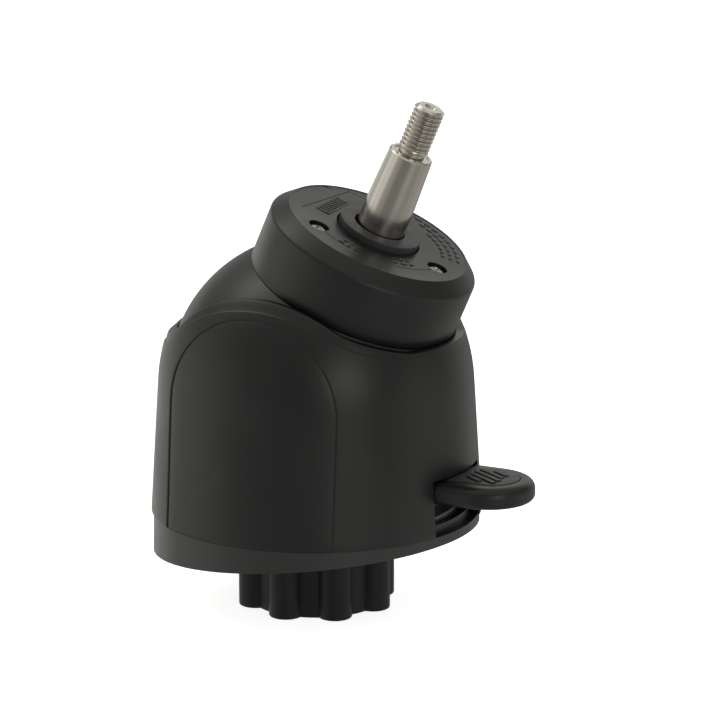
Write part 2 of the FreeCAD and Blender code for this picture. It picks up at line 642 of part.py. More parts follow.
def lock_sectors():
    """Two notched steel plates inside the arms; five round notches, one per tilt position."""
    body = new_body("lock_sectors")
    low, high = "lock_angle + 30", "lock_angle - 30"
    for side in (1, -1):
        plate = new_sketch(body, "XZ_Plane", f"{side} * sector_inside")
        outline(plate, ("-arm_half_width + 3", "arm_half_width - 3"),
                ("-arm_half_width + 3", "-arm_half_width"),
                (f"sector_radius * sin({low})", f"sector_radius * cos({low})"), ("arc", "sector_radius", 1),
                (f"sector_radius * sin({high})", f"sector_radius * cos({high})"))
        pushed(body, "sector_thick", back=side < 0)
    for step in range(-2, 3):
        angle = f"lock_angle + {step} * notch_step"
        circle(new_sketch(body, "XZ_Plane"), f"(sector_radius + notch_out) * sin({angle})",
               f"(sector_radius + notch_out) * cos({angle})", "notch_radius")
        pushed(body, "100", "Pocket", middle=True)
    circle(new_sketch(body, "XZ_Plane"), "0", "0", "pin_radius + 1")
    pushed(body, "100", "Pocket", middle=True)
    return in_head(body)


def sector_spacers():
    """Washers that hold each lock sector off its arm, round the tilt pins."""
    body = new_body("sector_spacers")
    for side in (1, -1):
        sketch = new_sketch(body, "XZ_Plane", f"{side} * (sector_inside + sector_thick)")
        for radius in ("arm_half_width - 3", "pin_radius + 1"):
            circle(sketch, "0", "0", radius)
        pushed(body, "arm_inside - sector_inside - sector_thick", back=side < 0)
    return in_head(body)


# ---------------------------------------------------------------- steering shaft and output

def steering_shaft():
    """Shaft from the wheel thread down to the ball end at the tilt axis, with a cross hole."""
    journal, flange = "race_bore - 0.02", "race_bore + spacer_wall"
    top = f"{CLIP_LEVEL} + 2.8"
    ball_exit = "sqrt(ball_end_radius^2 - neck_radius^2)"
    body = revolved("steering_shaft", ("0", "-ball_end_radius"), ("arc", "ball_end_radius", 1),
                    ("neck_radius", ball_exit), ("neck_radius", "lower_bearing - 5"),
                    (flange, "lower_bearing - 4"), (flange, "lower_bearing"),
                    (journal, "lower_bearing"), (journal, top),
                    ("shaft_radius", f"{top} + 0.5"), ("shaft_radius", "taper_start"),
                    ("taper_end_radius", "shoulder"), ("thread_radius - 1", "shoulder"),
                    ("thread_radius - 1", "shoulder + 1.6"), ("thread_radius", "shoulder + 2.6"),
                    ("thread_radius", "shaft_end - 1.2"), ("thread_radius - 1.2", "shaft_end"),
                    ("1.6", "shaft_end"), ("0", "shaft_end - 2"))
    circle(new_sketch(body, "XZ_Plane"), "0", "0", "cross_pin_radius")
    pushed(body, "40", "Pocket", middle=True)
    block(new_sketch(body, "XY_Plane", "taper_start - 1"),
          "-shaft_radius - 2", "-shaft_radius + key_half", "-key_half", "key_half")
    pushed(body, "shoulder - taper_start - 3", "Pocket", back=True)
    return in_head(body)


def cross_pin():
    """Hardened pin through the ball end, which drives the output cup's slots."""
    body = new_body("cross_pin")
    circle(new_sketch(body, "XZ_Plane"), "0", "0", "cross_pin_radius")
    pushed(body, "2 * roller_reach", middle=True)
    return in_head(body)


def drive_rollers():
    """Two rollers on the ends of the cross pin."""
    body = new_body("drive_rollers")
    for side in (1, -1):
        sketch = new_sketch(body, "XZ_Plane", f"{side} * (cup_bore + 0.3)")
        for radius in ("roller_radius", "cross_pin_radius"):
            circle(sketch, "0", "0", radius)
        pushed(body, "roller_reach - cup_bore - 0.3", back=side < 0)
    return in_head(body)


def output_shaft():
    """Slotted cup on a stem that runs down through the spigot to a keyed socket."""
    cup_floor, socket_end = "pivot_height - ball_end_radius - cup_floor_gap", "output_end + socket_depth"
    body = revolved("output_shaft", ("stem_radius", "output_end"), ("stem_radius", "cup_base - 3"),
                    ("cup_radius", "cup_base"), ("cup_radius", "cup_top"), ("cup_flare", "cup_top"),
                    ("cup_bore", "pivot_height + 2"), ("cup_bore", cup_floor), ("0", cup_floor),
                    ("0", socket_end), ("socket_radius", socket_end), ("socket_radius", "output_end"))
    wide = "roller_radius + 1"
    block(new_sketch(body, "XZ_Plane"), f"-({wide})", wide, "cup_base + 3.5", "cup_top + 5")
    pushed(body, "2 * cup_radius + 4", "Pocket", middle=True)
    block(new_sketch(body, "XY_Plane", "output_end"),
          "socket_radius - 2", "socket_radius + 1.8", "-key_half", "key_half")
    pushed(body, "socket_depth - 2", "Pocket", back=True)
    return body


def output_washer():
    """Thrust washer between the cup and the hub's bush."""
    return ring("output_washer", "stem_radius + part_gap", "hub_radius",
                "hub_height + bush_flange", "cup_base - 3 - running_gap")


def output_circlip():
    """Ring near the foot of the output shaft's stem."""
    return ring("output_circlip", "stem_radius", "stem_radius + 0.6", "output_end + 1", "output_end + 2.2")


# ---------------------------------------------------------------- release lever

def lock_point(across, out):
    """A point of the XZ plane given in the pawl's own directions, from the tilt axis."""
    return (f"({out}) * sin(lock_angle) + ({across}) * cos(lock_angle)",
            f"pivot_height + ({out}) * cos(lock_angle) - ({across}) * sin(lock_angle)")


def on_level(edge, height):
    """True if an edge lies flat at a height."""
    return abs(edge.BoundBox.ZMin - height) < 0.01 and abs(edge.BoundBox.ZMax - height) < 0.01


def release_lever():
    """Tongue-shaped lever: full-round end, two knuckles on the pin, arms that carry the pawl."""
    body = new_body("lever_blank")
    half, round_x = "lever_half_width", "lever_reach - lever_half_width"
    outline(new_sketch(body, "XY_Plane", "lever_base"), ("lever_pin_x + 2", "-knuckle_outside"),
            ("lever_neck", "-knuckle_outside"), ("lever_full", f"-{half}"),
            (round_x, f"-{half}"), ("arc", half, 1), (round_x, half), ("lever_full", half),
            ("lever_neck", "knuckle_outside"), ("lever_pin_x + 2", "knuckle_outside"))
    pushed(body, "lever_thick")
    for radius, level in (("lever_round", "lever_base + lever_thick"), ("lever_under_round", "lever_base")):
        softened(body, radius, lambda edge: on_level(edge, value(level)) and edge.BoundBox.XMax > 60)
    block(new_sketch(body, "XY_Plane", "lever_base - 1"), "lever_pin_x - 10", "lever_pin_x + 14",
          "-knuckle_inside", "knuckle_inside")
    pushed(body, "lever_thick + 2", "Pocket", back=True)
    for side in (1, -1):
        circle(new_sketch(body, "XZ_Plane", f"{side} * knuckle_inside"),
               "lever_pin_x", "lever_pin_z", "knuckle_radius")
        pushed(body, "knuckle_outside - knuckle_inside", back=side < 0)
        back, top = "sector_radius + pawl_back + 0.1", "sector_radius + arm_back"
        outline(new_sketch(body, "XZ_Plane", f"{side} * knuckle_inside"),
                lock_point("3.2", "sector_radius + 2"), lock_point("3.2", back), lock_point("-3.2", back),
                lock_point("-3.2", top), lock_point("6", top), lock_point("20.5", "sector_radius + 4.8"),
                lock_point("18", "sector_radius - 4"))
        pushed(body, "knuckle_outside - knuckle_inside", back=side < 0)
    circle(new_sketch(body, "XZ_Plane"), "lever_pin_x", "lever_pin_z", "lever_pin_radius + running_gap")
    pushed(body, "60", "Pocket", middle=True)
    pad_outline(new_sketch(body, "XY_Plane", "lever_base + lever_thick"), "0.1")
    pushed(body, "pad_deep", "Pocket")
    holes = new_body("pawl_screw_holes")
    circle(new_sketch(holes, "XY_Plane", "sector_radius + arm_back + 1"),
           "0", "pawl_screw_y", "pawl_screw_clear")
    around(holes, pushed(holes, "pawl_screw_hole", back=True), "2")
    placed(holes, z="pivot_height", angle="lock_angle")
    return boolean("Cut", "release_lever", body, holes)


def pad_outline(sketch, grow):
    """Tongue-shaped outline of the lever's inlay, grown by a distance."""
    half, start = f"lever_half_width - pad_margin + {grow}", f"pad_start - {grow}"
    outline(sketch, (start, f"-({half})"), ("pad_centre", f"-({half})"), ("arc", half, 1),
            ("pad_centre", half), (start, half))


def lever_pad():
    """Soft inlay let into the lever's upper face."""
    body = new_body("lever_pad")
    pad_outline(new_sketch(body, "XY_Plane", "lever_base + lever_thick - pad_deep"), "0")
    pushed(body, "pad_deep + pad_proud")
    return body


def lock_pawl():
    """Steel lock bar across both sectors, its tooth pointing at the tilt axis."""
    body = new_body("lock_pawl")
    tip, back = "sector_radius + pawl_gap", "sector_radius + pawl_back"
    outline(new_sketch(body, "XZ_Plane"), ("-1", tip), ("1", tip), ("pawl_half", f"{tip} + 2"),
            ("pawl_half", back), ("-pawl_half", back), ("-pawl_half", f"{tip} + 2"))
    pushed(body, "pawl_length", middle=True)
    circle(new_sketch(body, "XY_Plane", back), "0", "pawl_screw_y", "pawl_pilot")
    around(body, pushed(body, "pawl_pilot_deep", "Pocket"), "2")
    return placed(body, z="pivot_height", angle="lock_angle")


def all_screws():
    """Every set of screws. A head and a shank are each given as a radius and a length."""
    frame_screws = screw_set("frame_screws", "frame_screw_circle", "floor_height",
                             head=("4.2", "2.6"), shank=("frame_screw_pilot", "13"))
    cover_screws = screw_set("cover_screws", "ring_screw_circle", "-ring_screw_seat",
                             head=("3.8", "2.4"), shank=("1.7", "16"), turn="45")
    cap_screws = screw_set("cap_screws", "cap_screw_circle", "cap_face - screw_well_deep",
                           head=("3.5", "1.5"), shank=("post_pilot", "12"), count="cap_posts")
    dome_screws = screw_set("dome_screws", DOME_SCREW_RADIUS, "dome_top",
                            head=("2.4", "1.4"), shank=("dome_pilot", "5"), turn="45")
    pawl_screws = screw_set("pawl_screws", "pawl_screw_y", "sector_radius + arm_back",
                            head=("2.6", "1.8"), shank=("pawl_pilot", "6.9"), count="2", turn="90")
    return [frame_screws, placed(cover_screws, axis=Vector(1, 0, 0), angle="180"), in_head(cap_screws),
            in_head(dome_screws), placed(pawl_screws, z="pivot_height", angle="lock_angle")]


def bearings():
    """Two ball bearings, the spacers between them, and the circlips that hold them."""
    parts = []
    for name in ("lower", "upper"):
        low = f"{name}_bearing"
        parts += [race(f"{name}_outer_race", low, outer=True), race(f"{name}_inner_race", low, outer=False),
                  bearing_balls(f"{name}_balls", low)]
    between = ("lower_bearing + bearing_width", "upper_bearing")
    parts += [in_head(ring("outer_spacer", "race_outside - spacer_wall", "race_outside", *between)),
              in_head(ring("inner_spacer", "race_bore", "race_bore + spacer_wall", *between)),
              circlip("tube_circlip", "race_outside - spacer_wall", "race_outside"),
              circlip("shaft_circlip", "race_bore", "race_bore + 2.2")]
    return parts


NODES = [
    mounting_ring(), lobed_spigot(), threaded_inserts(), base_frame(), output_bush(), ear_pins(),
    lever_pin(), lever_pin_clips(), lever_spring(), housing_cover(),
    cheek("side_panel_left", 1, "panel_gap", "-panel_deep", "panel_proud"),
    cheek("side_panel_right", -1, "panel_gap", "-panel_deep", "panel_proud"),
    tilt_frame(), arm_bushes(), dome(), head_cap(), dust_collar(), lock_sectors(), sector_spacers(),
    *bearings(), steering_shaft(), cross_pin(), drive_rollers(), output_shaft(), output_washer(),
    output_circlip(), release_lever(), lever_pad(), lock_pawl(), *all_screws(),
]
DOC.recompute()

for thing in DOC.Objects:
    if {"Invalid", "Error"} & set(thing.State):
        raise RuntimeError(f"{thing.Label} failed: {thing.State}")
os.makedirs("parts", exist_ok=True)
for node in NODES:
    if node.Shape.isNull() or not node.Shape.isValid():
        raise RuntimeError(f"{node.Label} has no valid shape")
    node.Shape.exportStep(f"parts/{node.Label}.step")
    print(node.Label, len(node.Shape.Solids), round(node.Shape.Volume))
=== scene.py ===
"""Looks of a boat's tilting steering head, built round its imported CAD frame.

Shapes are worked out in millimetres, in the frame of the CAD model or in the frame of the tilting
head (origin on the tilt axis, +Z along the steering shaft), and turned to metres as meshes are made.
"""
import json
import math

import bmesh
import bpy
from mathutils import Matrix, Vector


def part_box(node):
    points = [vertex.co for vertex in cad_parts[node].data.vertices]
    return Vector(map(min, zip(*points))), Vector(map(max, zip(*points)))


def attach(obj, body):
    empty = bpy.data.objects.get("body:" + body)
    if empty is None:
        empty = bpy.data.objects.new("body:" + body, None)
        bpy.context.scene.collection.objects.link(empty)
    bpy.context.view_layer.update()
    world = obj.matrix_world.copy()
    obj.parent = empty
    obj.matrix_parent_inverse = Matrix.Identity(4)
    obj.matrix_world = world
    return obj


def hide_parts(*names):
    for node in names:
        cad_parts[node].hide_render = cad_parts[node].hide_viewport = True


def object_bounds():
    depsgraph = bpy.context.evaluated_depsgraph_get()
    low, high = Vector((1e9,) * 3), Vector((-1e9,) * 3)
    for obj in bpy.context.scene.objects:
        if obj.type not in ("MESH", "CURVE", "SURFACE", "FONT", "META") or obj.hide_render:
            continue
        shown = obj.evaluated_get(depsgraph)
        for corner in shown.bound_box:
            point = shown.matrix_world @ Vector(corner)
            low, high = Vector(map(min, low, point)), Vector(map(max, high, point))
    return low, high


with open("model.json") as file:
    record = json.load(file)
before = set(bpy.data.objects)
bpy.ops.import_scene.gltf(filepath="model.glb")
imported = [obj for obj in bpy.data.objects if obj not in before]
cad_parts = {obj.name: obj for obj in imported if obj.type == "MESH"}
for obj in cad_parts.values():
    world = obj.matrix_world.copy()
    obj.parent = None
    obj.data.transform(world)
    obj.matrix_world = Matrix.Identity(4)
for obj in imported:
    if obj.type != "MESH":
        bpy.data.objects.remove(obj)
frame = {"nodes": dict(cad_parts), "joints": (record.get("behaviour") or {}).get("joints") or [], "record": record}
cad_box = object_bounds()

MM = 0.001
SMOOTH_BELOW = math.radians(32)
OVERCUT = 1.0


def span(node):
    """Lowest and highest corner of a CAD node, in millimetres."""
    low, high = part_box(node)
    return low / MM, high / MM


JOINTS = {joint["name"]: joint for joint in frame["joints"]}
PIVOT = JOINTS["head_tilt"]["pos_m"][2] / MM
SPIN = JOINTS["shaft_spin"]["axis"]
LEAN = math.atan2(SPIN[0], SPIN[2])
SWING = math.radians(-JOINTS["head_tilt"]["range_deg"][0]) - LEAN
UPRIGHT = Matrix.Identity(4)
HEAD = Matrix.Translation((0, 0, PIVOT * MM)) @ Matrix.Rotation(LEAN, 4, "Y")

# housing cover: a drafted wall up to a knee, then a shoulder arc up to the rim, which rises over each cheek
FOOT = span("housing_cover")[0].z
FOOT_RADIUS = -span("housing_cover")[0].x
CROWN = span("housing_cover")[1].z
KNEE_RADIUS, KNEE = 62.6, 63.5
SHOULDER = 72.0
TOP_RADIUS, TOP = 47.5, 103.6
WALL = 3.0
ARCH_LOW, ARCH_CROWN, ARCH_REACH = 82.2, 56.0, 58.0
SLOT_HALF, SLOT_TOP, SLOT_CORNER = 19.4, 33.0, 1.2
SLOT_CUT = (42.0, 80.0)

# the cover's rim, from its lower edge up: a ridge, a narrow ledge, a band, a corner and the lip inside it.
# LOW_START and LOW_RAMP are where it turns from its shape over the cheeks to its shape at the low ends
LOW_START, LOW_RAMP = 26.0, 26.0
BAND, BAND_LESS_FRONT, BAND_LESS_LOW = 4.0, 2.4, 0.2
RISE_FRONT, DROP_BACK = 0.9, 0.7
LEDGE, LEDGE_LESS_FRONT = 0.54, 0.8
LIP, LIP_MORE_BACK, LIP_DEEP = 0.4, 2.2, 1.4
CORNER_LIFT, RIDGE_DROP = 0.8, 0.6
DOME_GAP, DOME_GAP_LESS_LOW = 1.9, 1.6
CAP_CLEAR, CAP_SIDE_CLEAR, CAP_LOW_CLEAR = 0.5, 0.35, 0.4

# side panels
PANEL_HALF, PANEL_TOP = 36.35, 96.35
PANEL_GAP, PANEL_DEEP, PANEL_SUNK, PANEL_ROUND = 0.05, 1.3, 0.45, 0.1
PANEL_FOOT, PANEL_ROLL, PANEL_ROLL_TURN = 0.15, 0.9, math.radians(78)
PANEL_INSETS = (2.0, 4.5, 8, 13, 19, 26, PANEL_HALF)
RECESS_FLOOR, RECESS_ABOVE = 0.1, 4.0

# tilting head
DOME = span("dome")[1].y
CAP_RADIUS = span("head_cap")[1].y
CAP_LOW, CAP_SHOULDER, CAP_FACE, CAP_FACE_RADIUS = 40.7, 62.9, 68.1, 37.0
CAP_WALL, CAP_RIM = 3.0, 0.6
FACE_SUNK = 0.2
FACE = CAP_FACE - FACE_SUNK
COLLAR, COLLAR_RISE, COLLAR_BORE, COLLAR_OFFSET, COLLAR_GAP = 16.5, 2.4, 10.3, 0.4, 0.5

# cap screws, in wells. A screw's own heights are from its seat at the bottom of the well
CAP_SCREWS, SCREW_CIRCLE, SCREW_TURN = 3, 28.0, 0.5
WELL, WELL_DEEP = 4.1, 2.0
SCREW_HOLE, HOLE_LOW, HOLE_HIGH = 2.2, 6, 1.5
HEAD_RADIUS, HEAD_HEIGHT, SHANK, SHANK_END = 3.2, 1.2, 1.7, -10.0
CROSS_REACH, CROSS_DEEP, CROSS_ABOVE = 1.9, 1.0, 0.2

# marks on the cap's face, with places in the head's frame
HATCH_CENTRE, HATCH_TURN = (-22.0, 0.2), math.radians(6)
HATCH_WIDE, HATCH_LONG, HATCH_FRAME, HATCH_RISE = 5.4, 20.0, 0.7, 0.25
STRIPE, STRIPE_PITCH, STRIPE_TURN, STRIPE_SHORTER = 1.1, 2.3, math.radians(18), 0.6
DASH_FULL, DASH_SHORT, DASH_WIDE, DASH_RISE = 0.78, 0.5, 1.5, 0.3
NOTE_START, NOTE_STEP = 26, 7.4
GROOVE, GROOVE_DEEP, GROOVE_ABOVE = 0.35, 0.25, 0.5
ARC_PIECES, ARC_OVERLAP = 9, 0.4
TICK_DEEP = 0.35

# steering shaft, from its ball end to its stud
SHAFT = 9.525
BALL_END, BALL_END_TURN, NECK, CROSS_HOLE = 11.0, math.radians(140.5), 7.0, 3.0
THRUST_COLLAR, THRUST_START, THRUST_END = 12.5, 26.0, 30.0
JOURNAL, JOURNAL_END = 9.98, 60.3
TAPER_START, SHAFT_SHOULDER, TAPER_END = 82.5, 103.0, 8.67
KEY_HALF, KEY_DEEP = 2.4, 2.4
STUD, STUD_ROOT, STUD_END, PITCH = 6.0, 4.95, 123.1, 1.75
THREAD_START, THREAD_STOP, THREAD_STEPS = SHAFT_SHOULDER + 2.2, STUD_END - 0.5, 110
THREAD_FLAT, THREAD_FLANK = 0.08, 0.84

# spigot
SPIGOT_LOW = span("lobed_spigot")[0].z
LOBES, LOBE_CIRCLE, LOBE, CORE, FLANGE = 8, 25.4, 6.8, 26.6, 38.0
FOOT_ROUND = 0.8
FLANGE_LOW, FLANGE_TOP, FLANGE_BEVEL = 4.6, 9.5, 0.4
SPIGOT_BORE, BORE_BEVEL = 12.8, 0.5
INSERTS, INSERT, INSERT_CIRCLE, INSERT_DEEP = 4, 3.6, 26.6, 16
FRAME_SCREWS, FRAME_SCREW_HOLE, FRAME_SCREW_CIRCLE = 4, 2.15, 33.5
HOLE_FLOOR, HOLE_FIT = 0.2, 0.02

# lever pad. Its edge and crown are insets with heights over its top; its ribs are number, length and slide
PAD_START, PAD_CENTRE, PAD_HALF = 62.2, 77.0, 11.2
PAD_LOW, PAD_TOP = 31.15, 32.2
PAD_LEVELS = ((0.0, -0.35), (0.1, -0.12), (0.35, 0.0), (2.0, 0.1), (6.0, 0.25), (10.0, 0.32))
RIB_ANGLE, RIB_CENTRE, RIB_PITCH, RIB_WIDTH = math.radians(-32), 75.5, 3.8, 2.3
RIB_RISE, RIB_SUNK = 0.7, 0.5
RIB_GROOVE, RIB_GROOVE_DEEP = 0.7, 0.35
RIBS = ((-2, 8.8, -3.6), (-1, 15.4, 0.0), (0, 17.0, 0.0), (1, 15.4, 0.0), (2, 8.8, 3.6))


# ---------------------------------------------------------------- mesh building

def filleted(corners, steps=5):
    """A closed profile of (across, up, fillet) corners, with every corner that has a fillet rounded."""
    points = []
    for index, (across, up, size) in enumerate(corners):
        here = Vector((across, up))
        if not size:
            points.append(here)
            continue
        back = (Vector(corners[index - 1][:2]) - here).normalized()
        ahead = (Vector(corners[(index + 1) % len(corners)][:2]) - here).normalized()
        half = back.angle(ahead) / 2
        centre = here + (back + ahead).normalized() * size / math.sin(half)
        start = here + back * size / math.tan(half) - centre
        stop = here + ahead * size / math.tan(half) - centre
        turn = math.atan2(start.cross(stop), start.dot(stop))
        for step in range(steps + 1):
            points.append(centre + Matrix.Rotation(turn * step / steps, 2) @ start)
    return [(point.x, point.y) for point in points]


def turned(section, sides=128):
    """A closed section of (radius, height) points, or a function that gives one, carried round Z."""
    rings = []
    for side in range(sides):
        angle = math.tau * side / sides
        outline = section(angle) if callable(section) else section
        rings.append([(r * math.cos(angle), r * math.sin(angle), z) for r, z in outline])
    return bridged(rings, around=True)


def bridged(loops, around=False):
    """Quads between neighbouring closed loops of equal length. Around also joins the last to the first."""
    count = len(loops[0])
    points = [point for loop in loops for point in loop]
    faces = []
    for index in range(len(loops) if around else len(loops) - 1):
        here, there = index * count, (index + 1) % len(loops) * count
        for n in range(count):
            after = (n + 1) % count
            faces.append((here + n, here + after, there + after, there + n))
    return points, faces


def prism(loops):
    """A solid through closed loops, with a flat face on the first and the last."""
    points, faces = bridged(loops)
    count = len(loops[0])
    faces.append(tuple(range(count)))
    faces.append(tuple(range(len(points) - count, len(points))))
    return points, faces


def tongue(half, centre, back, height, arc=24, straight=6):
    """Outline with a straight back at x = back and a full-round end about x = centre."""
    loop = [(back, -half + 2 * half * n / straight, height) for n in range(straight, 0, -1)]
    loop += [(back + (centre - back) * n / straight, -half, height) for n in range(straight)]
    loop += [(centre + half * math.cos(a), half * math.sin(a), height)
             for a in (math.pi * (n / arc - 0.5) for n in range(arc))]
    loop += [(centre + (back - centre) * n / straight, half, height) for n in range(straight)]
    return loop


def bar(length, width, height, sunk=0.4, steps=6):
    """A raised bar along X with round ends and a softened top, standing on z = 0."""
    def outline(inset, z):
        half, reach = width / 2 - inset, (length - width) / 2
        angles = [math.pi * (n / steps - 0.5) for n in range(steps + 1)]
        ends = [(reach + half * math.cos(a), half * math.sin(a), z) for a in angles]
        return ends + [(-x, -y, z) for x, y, z in ends]
    return prism([outline(0, -sunk), outline(0, height * 0.55), outline(width * 0.12, height)])


def moved(shape, place):
    """A shape with its points put through a matrix whose lengths are millimetres."""
    points, faces = shape
    return [tuple(place @ Vector(point)) for point in points], faces


def joined(shapes):
    """Several separate shapes as one."""
    points, faces = [], []
    for more, sides in shapes:
        faces += [tuple(index + len(points) for index in side) for side in sides]
        points += more
    return points, faces


def spot(x, y, z, turn=0.0):
    """A place in millimetres, turned about Z."""
    return Matrix.Translation((x, y, z)) @ Matrix.Rotation(turn, 4, "Z")


def mesh_object(name, shape, place=UPRIGHT):
    """An object with a closed mesh in metres, made from a shape in millimetres."""
    points, faces = shape
    mesh = bpy.data.meshes.new(name)
    mesh.from_pydata([Vector(point) * MM for point in points], [], faces)
    thing = bpy.data.objects.new(name, mesh)
    bpy.context.scene.collection.objects.link(thing)
    thing.matrix_world = place
    finished(mesh)
    return thing


def finished(mesh):
    """Merge what touches, face outwards, and shade smooth except over sharp edges."""
    tidy = bmesh.new()
    tidy.from_mesh(mesh)
    bmesh.ops.remove_doubles(tidy, verts=tidy.verts, dist=2e-7)
    bmesh.ops.dissolve_degenerate(tidy, edges=tidy.edges, dist=1e-8)
    loose = [edge for edge in tidy.edges if not edge.link_faces]
    bmesh.ops.delete(tidy, geom=loose, context="EDGES")
    bmesh.ops.recalc_face_normals(tidy, faces=tidy.faces)
    for face in tidy.faces:
        face.smooth = True
    for edge in tidy.edges:
        edge.smooth = len(edge.link_faces) == 2 and edge.calc_face_angle(math.pi) < SMOOTH_BELOW
    tidy.to_mesh(mesh)
    tidy.free()


def carve(thing, shape, operation="DIFFERENCE"):
    """Cut a shape out of a piece, or weld it on with UNION. The shape is in the piece's own frame."""
    tool = mesh_object(thing.name + "_tool", shape, thing.matrix_world.copy())
    step = thing.modifiers.new("carve", "BOOLEAN")
    step.operation, step.solver, step.object = operation, "EXACT", tool
    bpy.context.view_layer.update()
    ready = thing.evaluated_get(bpy.context.evaluated_depsgraph_get())
    mesh = bpy.data.meshes.new_from_object(ready)
    thing.modifiers.clear()
    old, thing.data = thing.data, mesh
    bpy.data.meshes.remove(old)
    bpy.data.objects.remove(tool)
    finished(thing.data)


def shown(thing, body, slot, *nodes):
    """Give a piece its slot and its finish, fasten it to a body, and let it stand for CAD nodes."""
    thing.data.transform(thing.matrix_world)
    thing.matrix_world = UPRIGHT
    thing.data.materials.clear()
    thing.data.materials.append(FINISHES[slot])
    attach(thing, body)
    if nodes:
        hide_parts(*nodes)


# ---------------------------------------------------------------- materials

class Shader:
    """A short way to wire one material."""

    def __init__(self, name):
        self.material = bpy.data.materials.new(name)
        self.material.use_nodes = True
        self.tree = self.material.node_tree
        self.surface = self.tree.nodes["Principled BSDF"]

    def node(self, kind, sockets=None, **settings):
        """A new node of a kind, with its settings, and a value or a link for each socket named."""
        made = self.tree.nodes.new("ShaderNode" + kind)
        for key, setting in settings.items():
            setattr(made, key, setting)
        for key, source in (sockets or {}).items():
            self.feed(made.inputs[key], source)
        return made

    def feed(self, socket, source):
        """Link a socket to another one, or give it a plain value."""
        if isinstance(source, bpy.types.NodeSocket):
            self.tree.links.new(source, socket)
        else:
            socket.default_value = source

    def set(self, **sockets):
        """Feed the sockets of the surface itself."""
        for key, source in sockets.items():
            self.feed(self.surface.inputs[key.replace("_", " ")], source)

    def coordinates(self, tilted=False, stretch=(1, 1, 1)):
        """Object coordinates, in the head's frame if tilted, stretched for grain that runs one way."""
        source = self.node("TexCoord").outputs["Object"]
        if tilted:
            source = self.node("Mapping", {"Vector": source, "Location": (0, 0, PIVOT * MM),
                                           "Rotation": (0, LEAN, 0)}, vector_type="TEXTURE").outputs[0]
        return self.node("Mapping", {"Vector": source, "Scale": stretch}).outputs[0]

    def noise(self, vector, scale, detail=3.0, rough=0.5):
        """Noise with a number of features to the metre."""
        return self.node("TexNoise", {"Vector": vector, "Scale": scale, "Detail": detail,
                                      "Roughness": rough}).outputs["Fac"]

    def between(self, source, low, high, at=(0.3, 0.7)):
        """A number that goes from low to high as the source goes over a range."""
        return self.node("MapRange", {"Value": source, "From Min": at[0], "From Max": at[1],
                                      "To Min": low, "To Max": high}).outputs[0]

    def blend(self, amount, first, second):
        """A colour between two colours."""
        mix = self.node("Mix", data_type="RGBA")
        self.feed(mix.inputs[0], amount)
        self.feed(mix.inputs[6], (*first, 1) if isinstance(first, tuple) else first)
        self.feed(mix.inputs[7], (*second, 1) if isinstance(second, tuple) else second)
        return mix.outputs[2]

    def rounded(self, radius):
        """The surface's normal, turned near edges as if they were rounded."""
        return self.node("Bevel", {"Radius": radius}, samples=4).outputs[0]

    def edges(self, radius):
        """1 on outside and inside edges, 0 on open faces."""
        flat = self.node("NewGeometry").outputs["Normal"]
        match = self.node("VectorMath", {0: self.rounded(radius), 1: flat}, operation="DOT_PRODUCT")
        return self.between(match.outputs["Value"], 0.0, 1.0, at=(0.985, 0.9))

    def bump(self, height, strength, depth, normal):
        """The normal, tilted by a height that is fine relief of a depth."""
        return self.node("Bump", {"Height": height, "Strength": strength, "Distance": depth,
                                  "Normal": normal}).outputs[0]

    def product(self, first, second):
        """Two numbers multiplied."""
        return self.node("Math", {0: first, 1: second}, operation="MULTIPLY").outputs[0]


def times(colour, factor, extra=0.0):
    """A colour made brighter or darker."""
    return tuple(min(1.0, factor * part + extra) for part in colour)


def moulded(name, colour, rough, shine=0.4, grain=0.35, depth=0.03, edge_wear_and_highlight=0.35):
    """Black moulded plastic: fine grain, faint flow marks, and edges lightened, partly as polish from handling and
    partly as painted highlight lines along the edges.
    """
    shader = Shader(name)
    place = shader.coordinates()
    flow = shader.noise(place, scale=22.0, detail=2.0)
    speck = shader.noise(place, scale=700.0, detail=2.0)
    texture = shader.noise(place, scale=1.0 / (grain * MM), rough=0.6)
    edge = shader.edges(0.7 * MM)
    # edges lighter than the faces: partly handling polish, partly a painted highlight standing in for the light
    # lines that the edges catch
    wear_and_edge_highlight = shader.product(shader.product(edge, shader.between(speck, 0.4, 1.0)), edge_wear_and_highlight)
    base = shader.blend(shader.between(flow, 0.0, 1.0), times(colour, 0.85), times(colour, 1.15))
    shader.set(Base_Color=shader.blend(wear_and_edge_highlight, base, times(colour, 2.0, extra=0.005)),
               Roughness=shader.between(flow, rough - 0.04, rough + 0.05),
               Specular_IOR_Level=shine,
               Normal=shader.bump(texture, 0.6, depth * MM, shader.rounded(0.15 * MM)))
    return shader.material


def rubbery(name, colour, rough):
    """Soft rubber: dull, finely pitted, with pale dusty bloom in patches."""
    shader = Shader(name)
    place = shader.coordinates()
    bloom = shader.noise(place, scale=90.0, detail=4.0)
    pits = shader.node("TexVoronoi", {"Vector": place, "Scale": 1 / (0.45 * MM)}).outputs["Distance"]
    shader.set(Base_Color=shader.blend(shader.between(bloom, 0.0, 0.6), colour, times(colour, 1.7)),
               Roughness=shader.between(bloom, rough - 0.06, rough + 0.06),
               Normal=shader.bump(pits, 0.5, 0.03 * MM, shader.rounded(0.15 * MM)))
    return shader.material


def metal(name, colour, rough, stretch=(1, 1, 1), scale=400.0, depth=0.01, tilted=False, dull=0.7):
    """Bare metal: machining marks drawn out along the small stretches, dull patches, bright worn edges."""
    shader = Shader(name)
    marks = shader.noise(shader.coordinates(tilted, stretch), scale, detail=4.0, rough=0.6)
    patch = shader.noise(shader.coordinates(tilted), scale=120.0)
    edge = shader.between(shader.edges(0.4 * MM), 0.0, 0.6, at=(0, 1))
    base = shader.blend(shader.between(patch, 0.0, 0.5), colour, times(colour, dull))
    shader.set(Base_Color=shader.blend(edge, base, times(colour, 1.25)),
               Metallic=1.0,
               Roughness=shader.between(marks, rough - 0.05, rough + 0.07),
               Normal=shader.bump(marks, 0.5, depth * MM, shader.rounded(0.1 * MM)))
    return shader.material


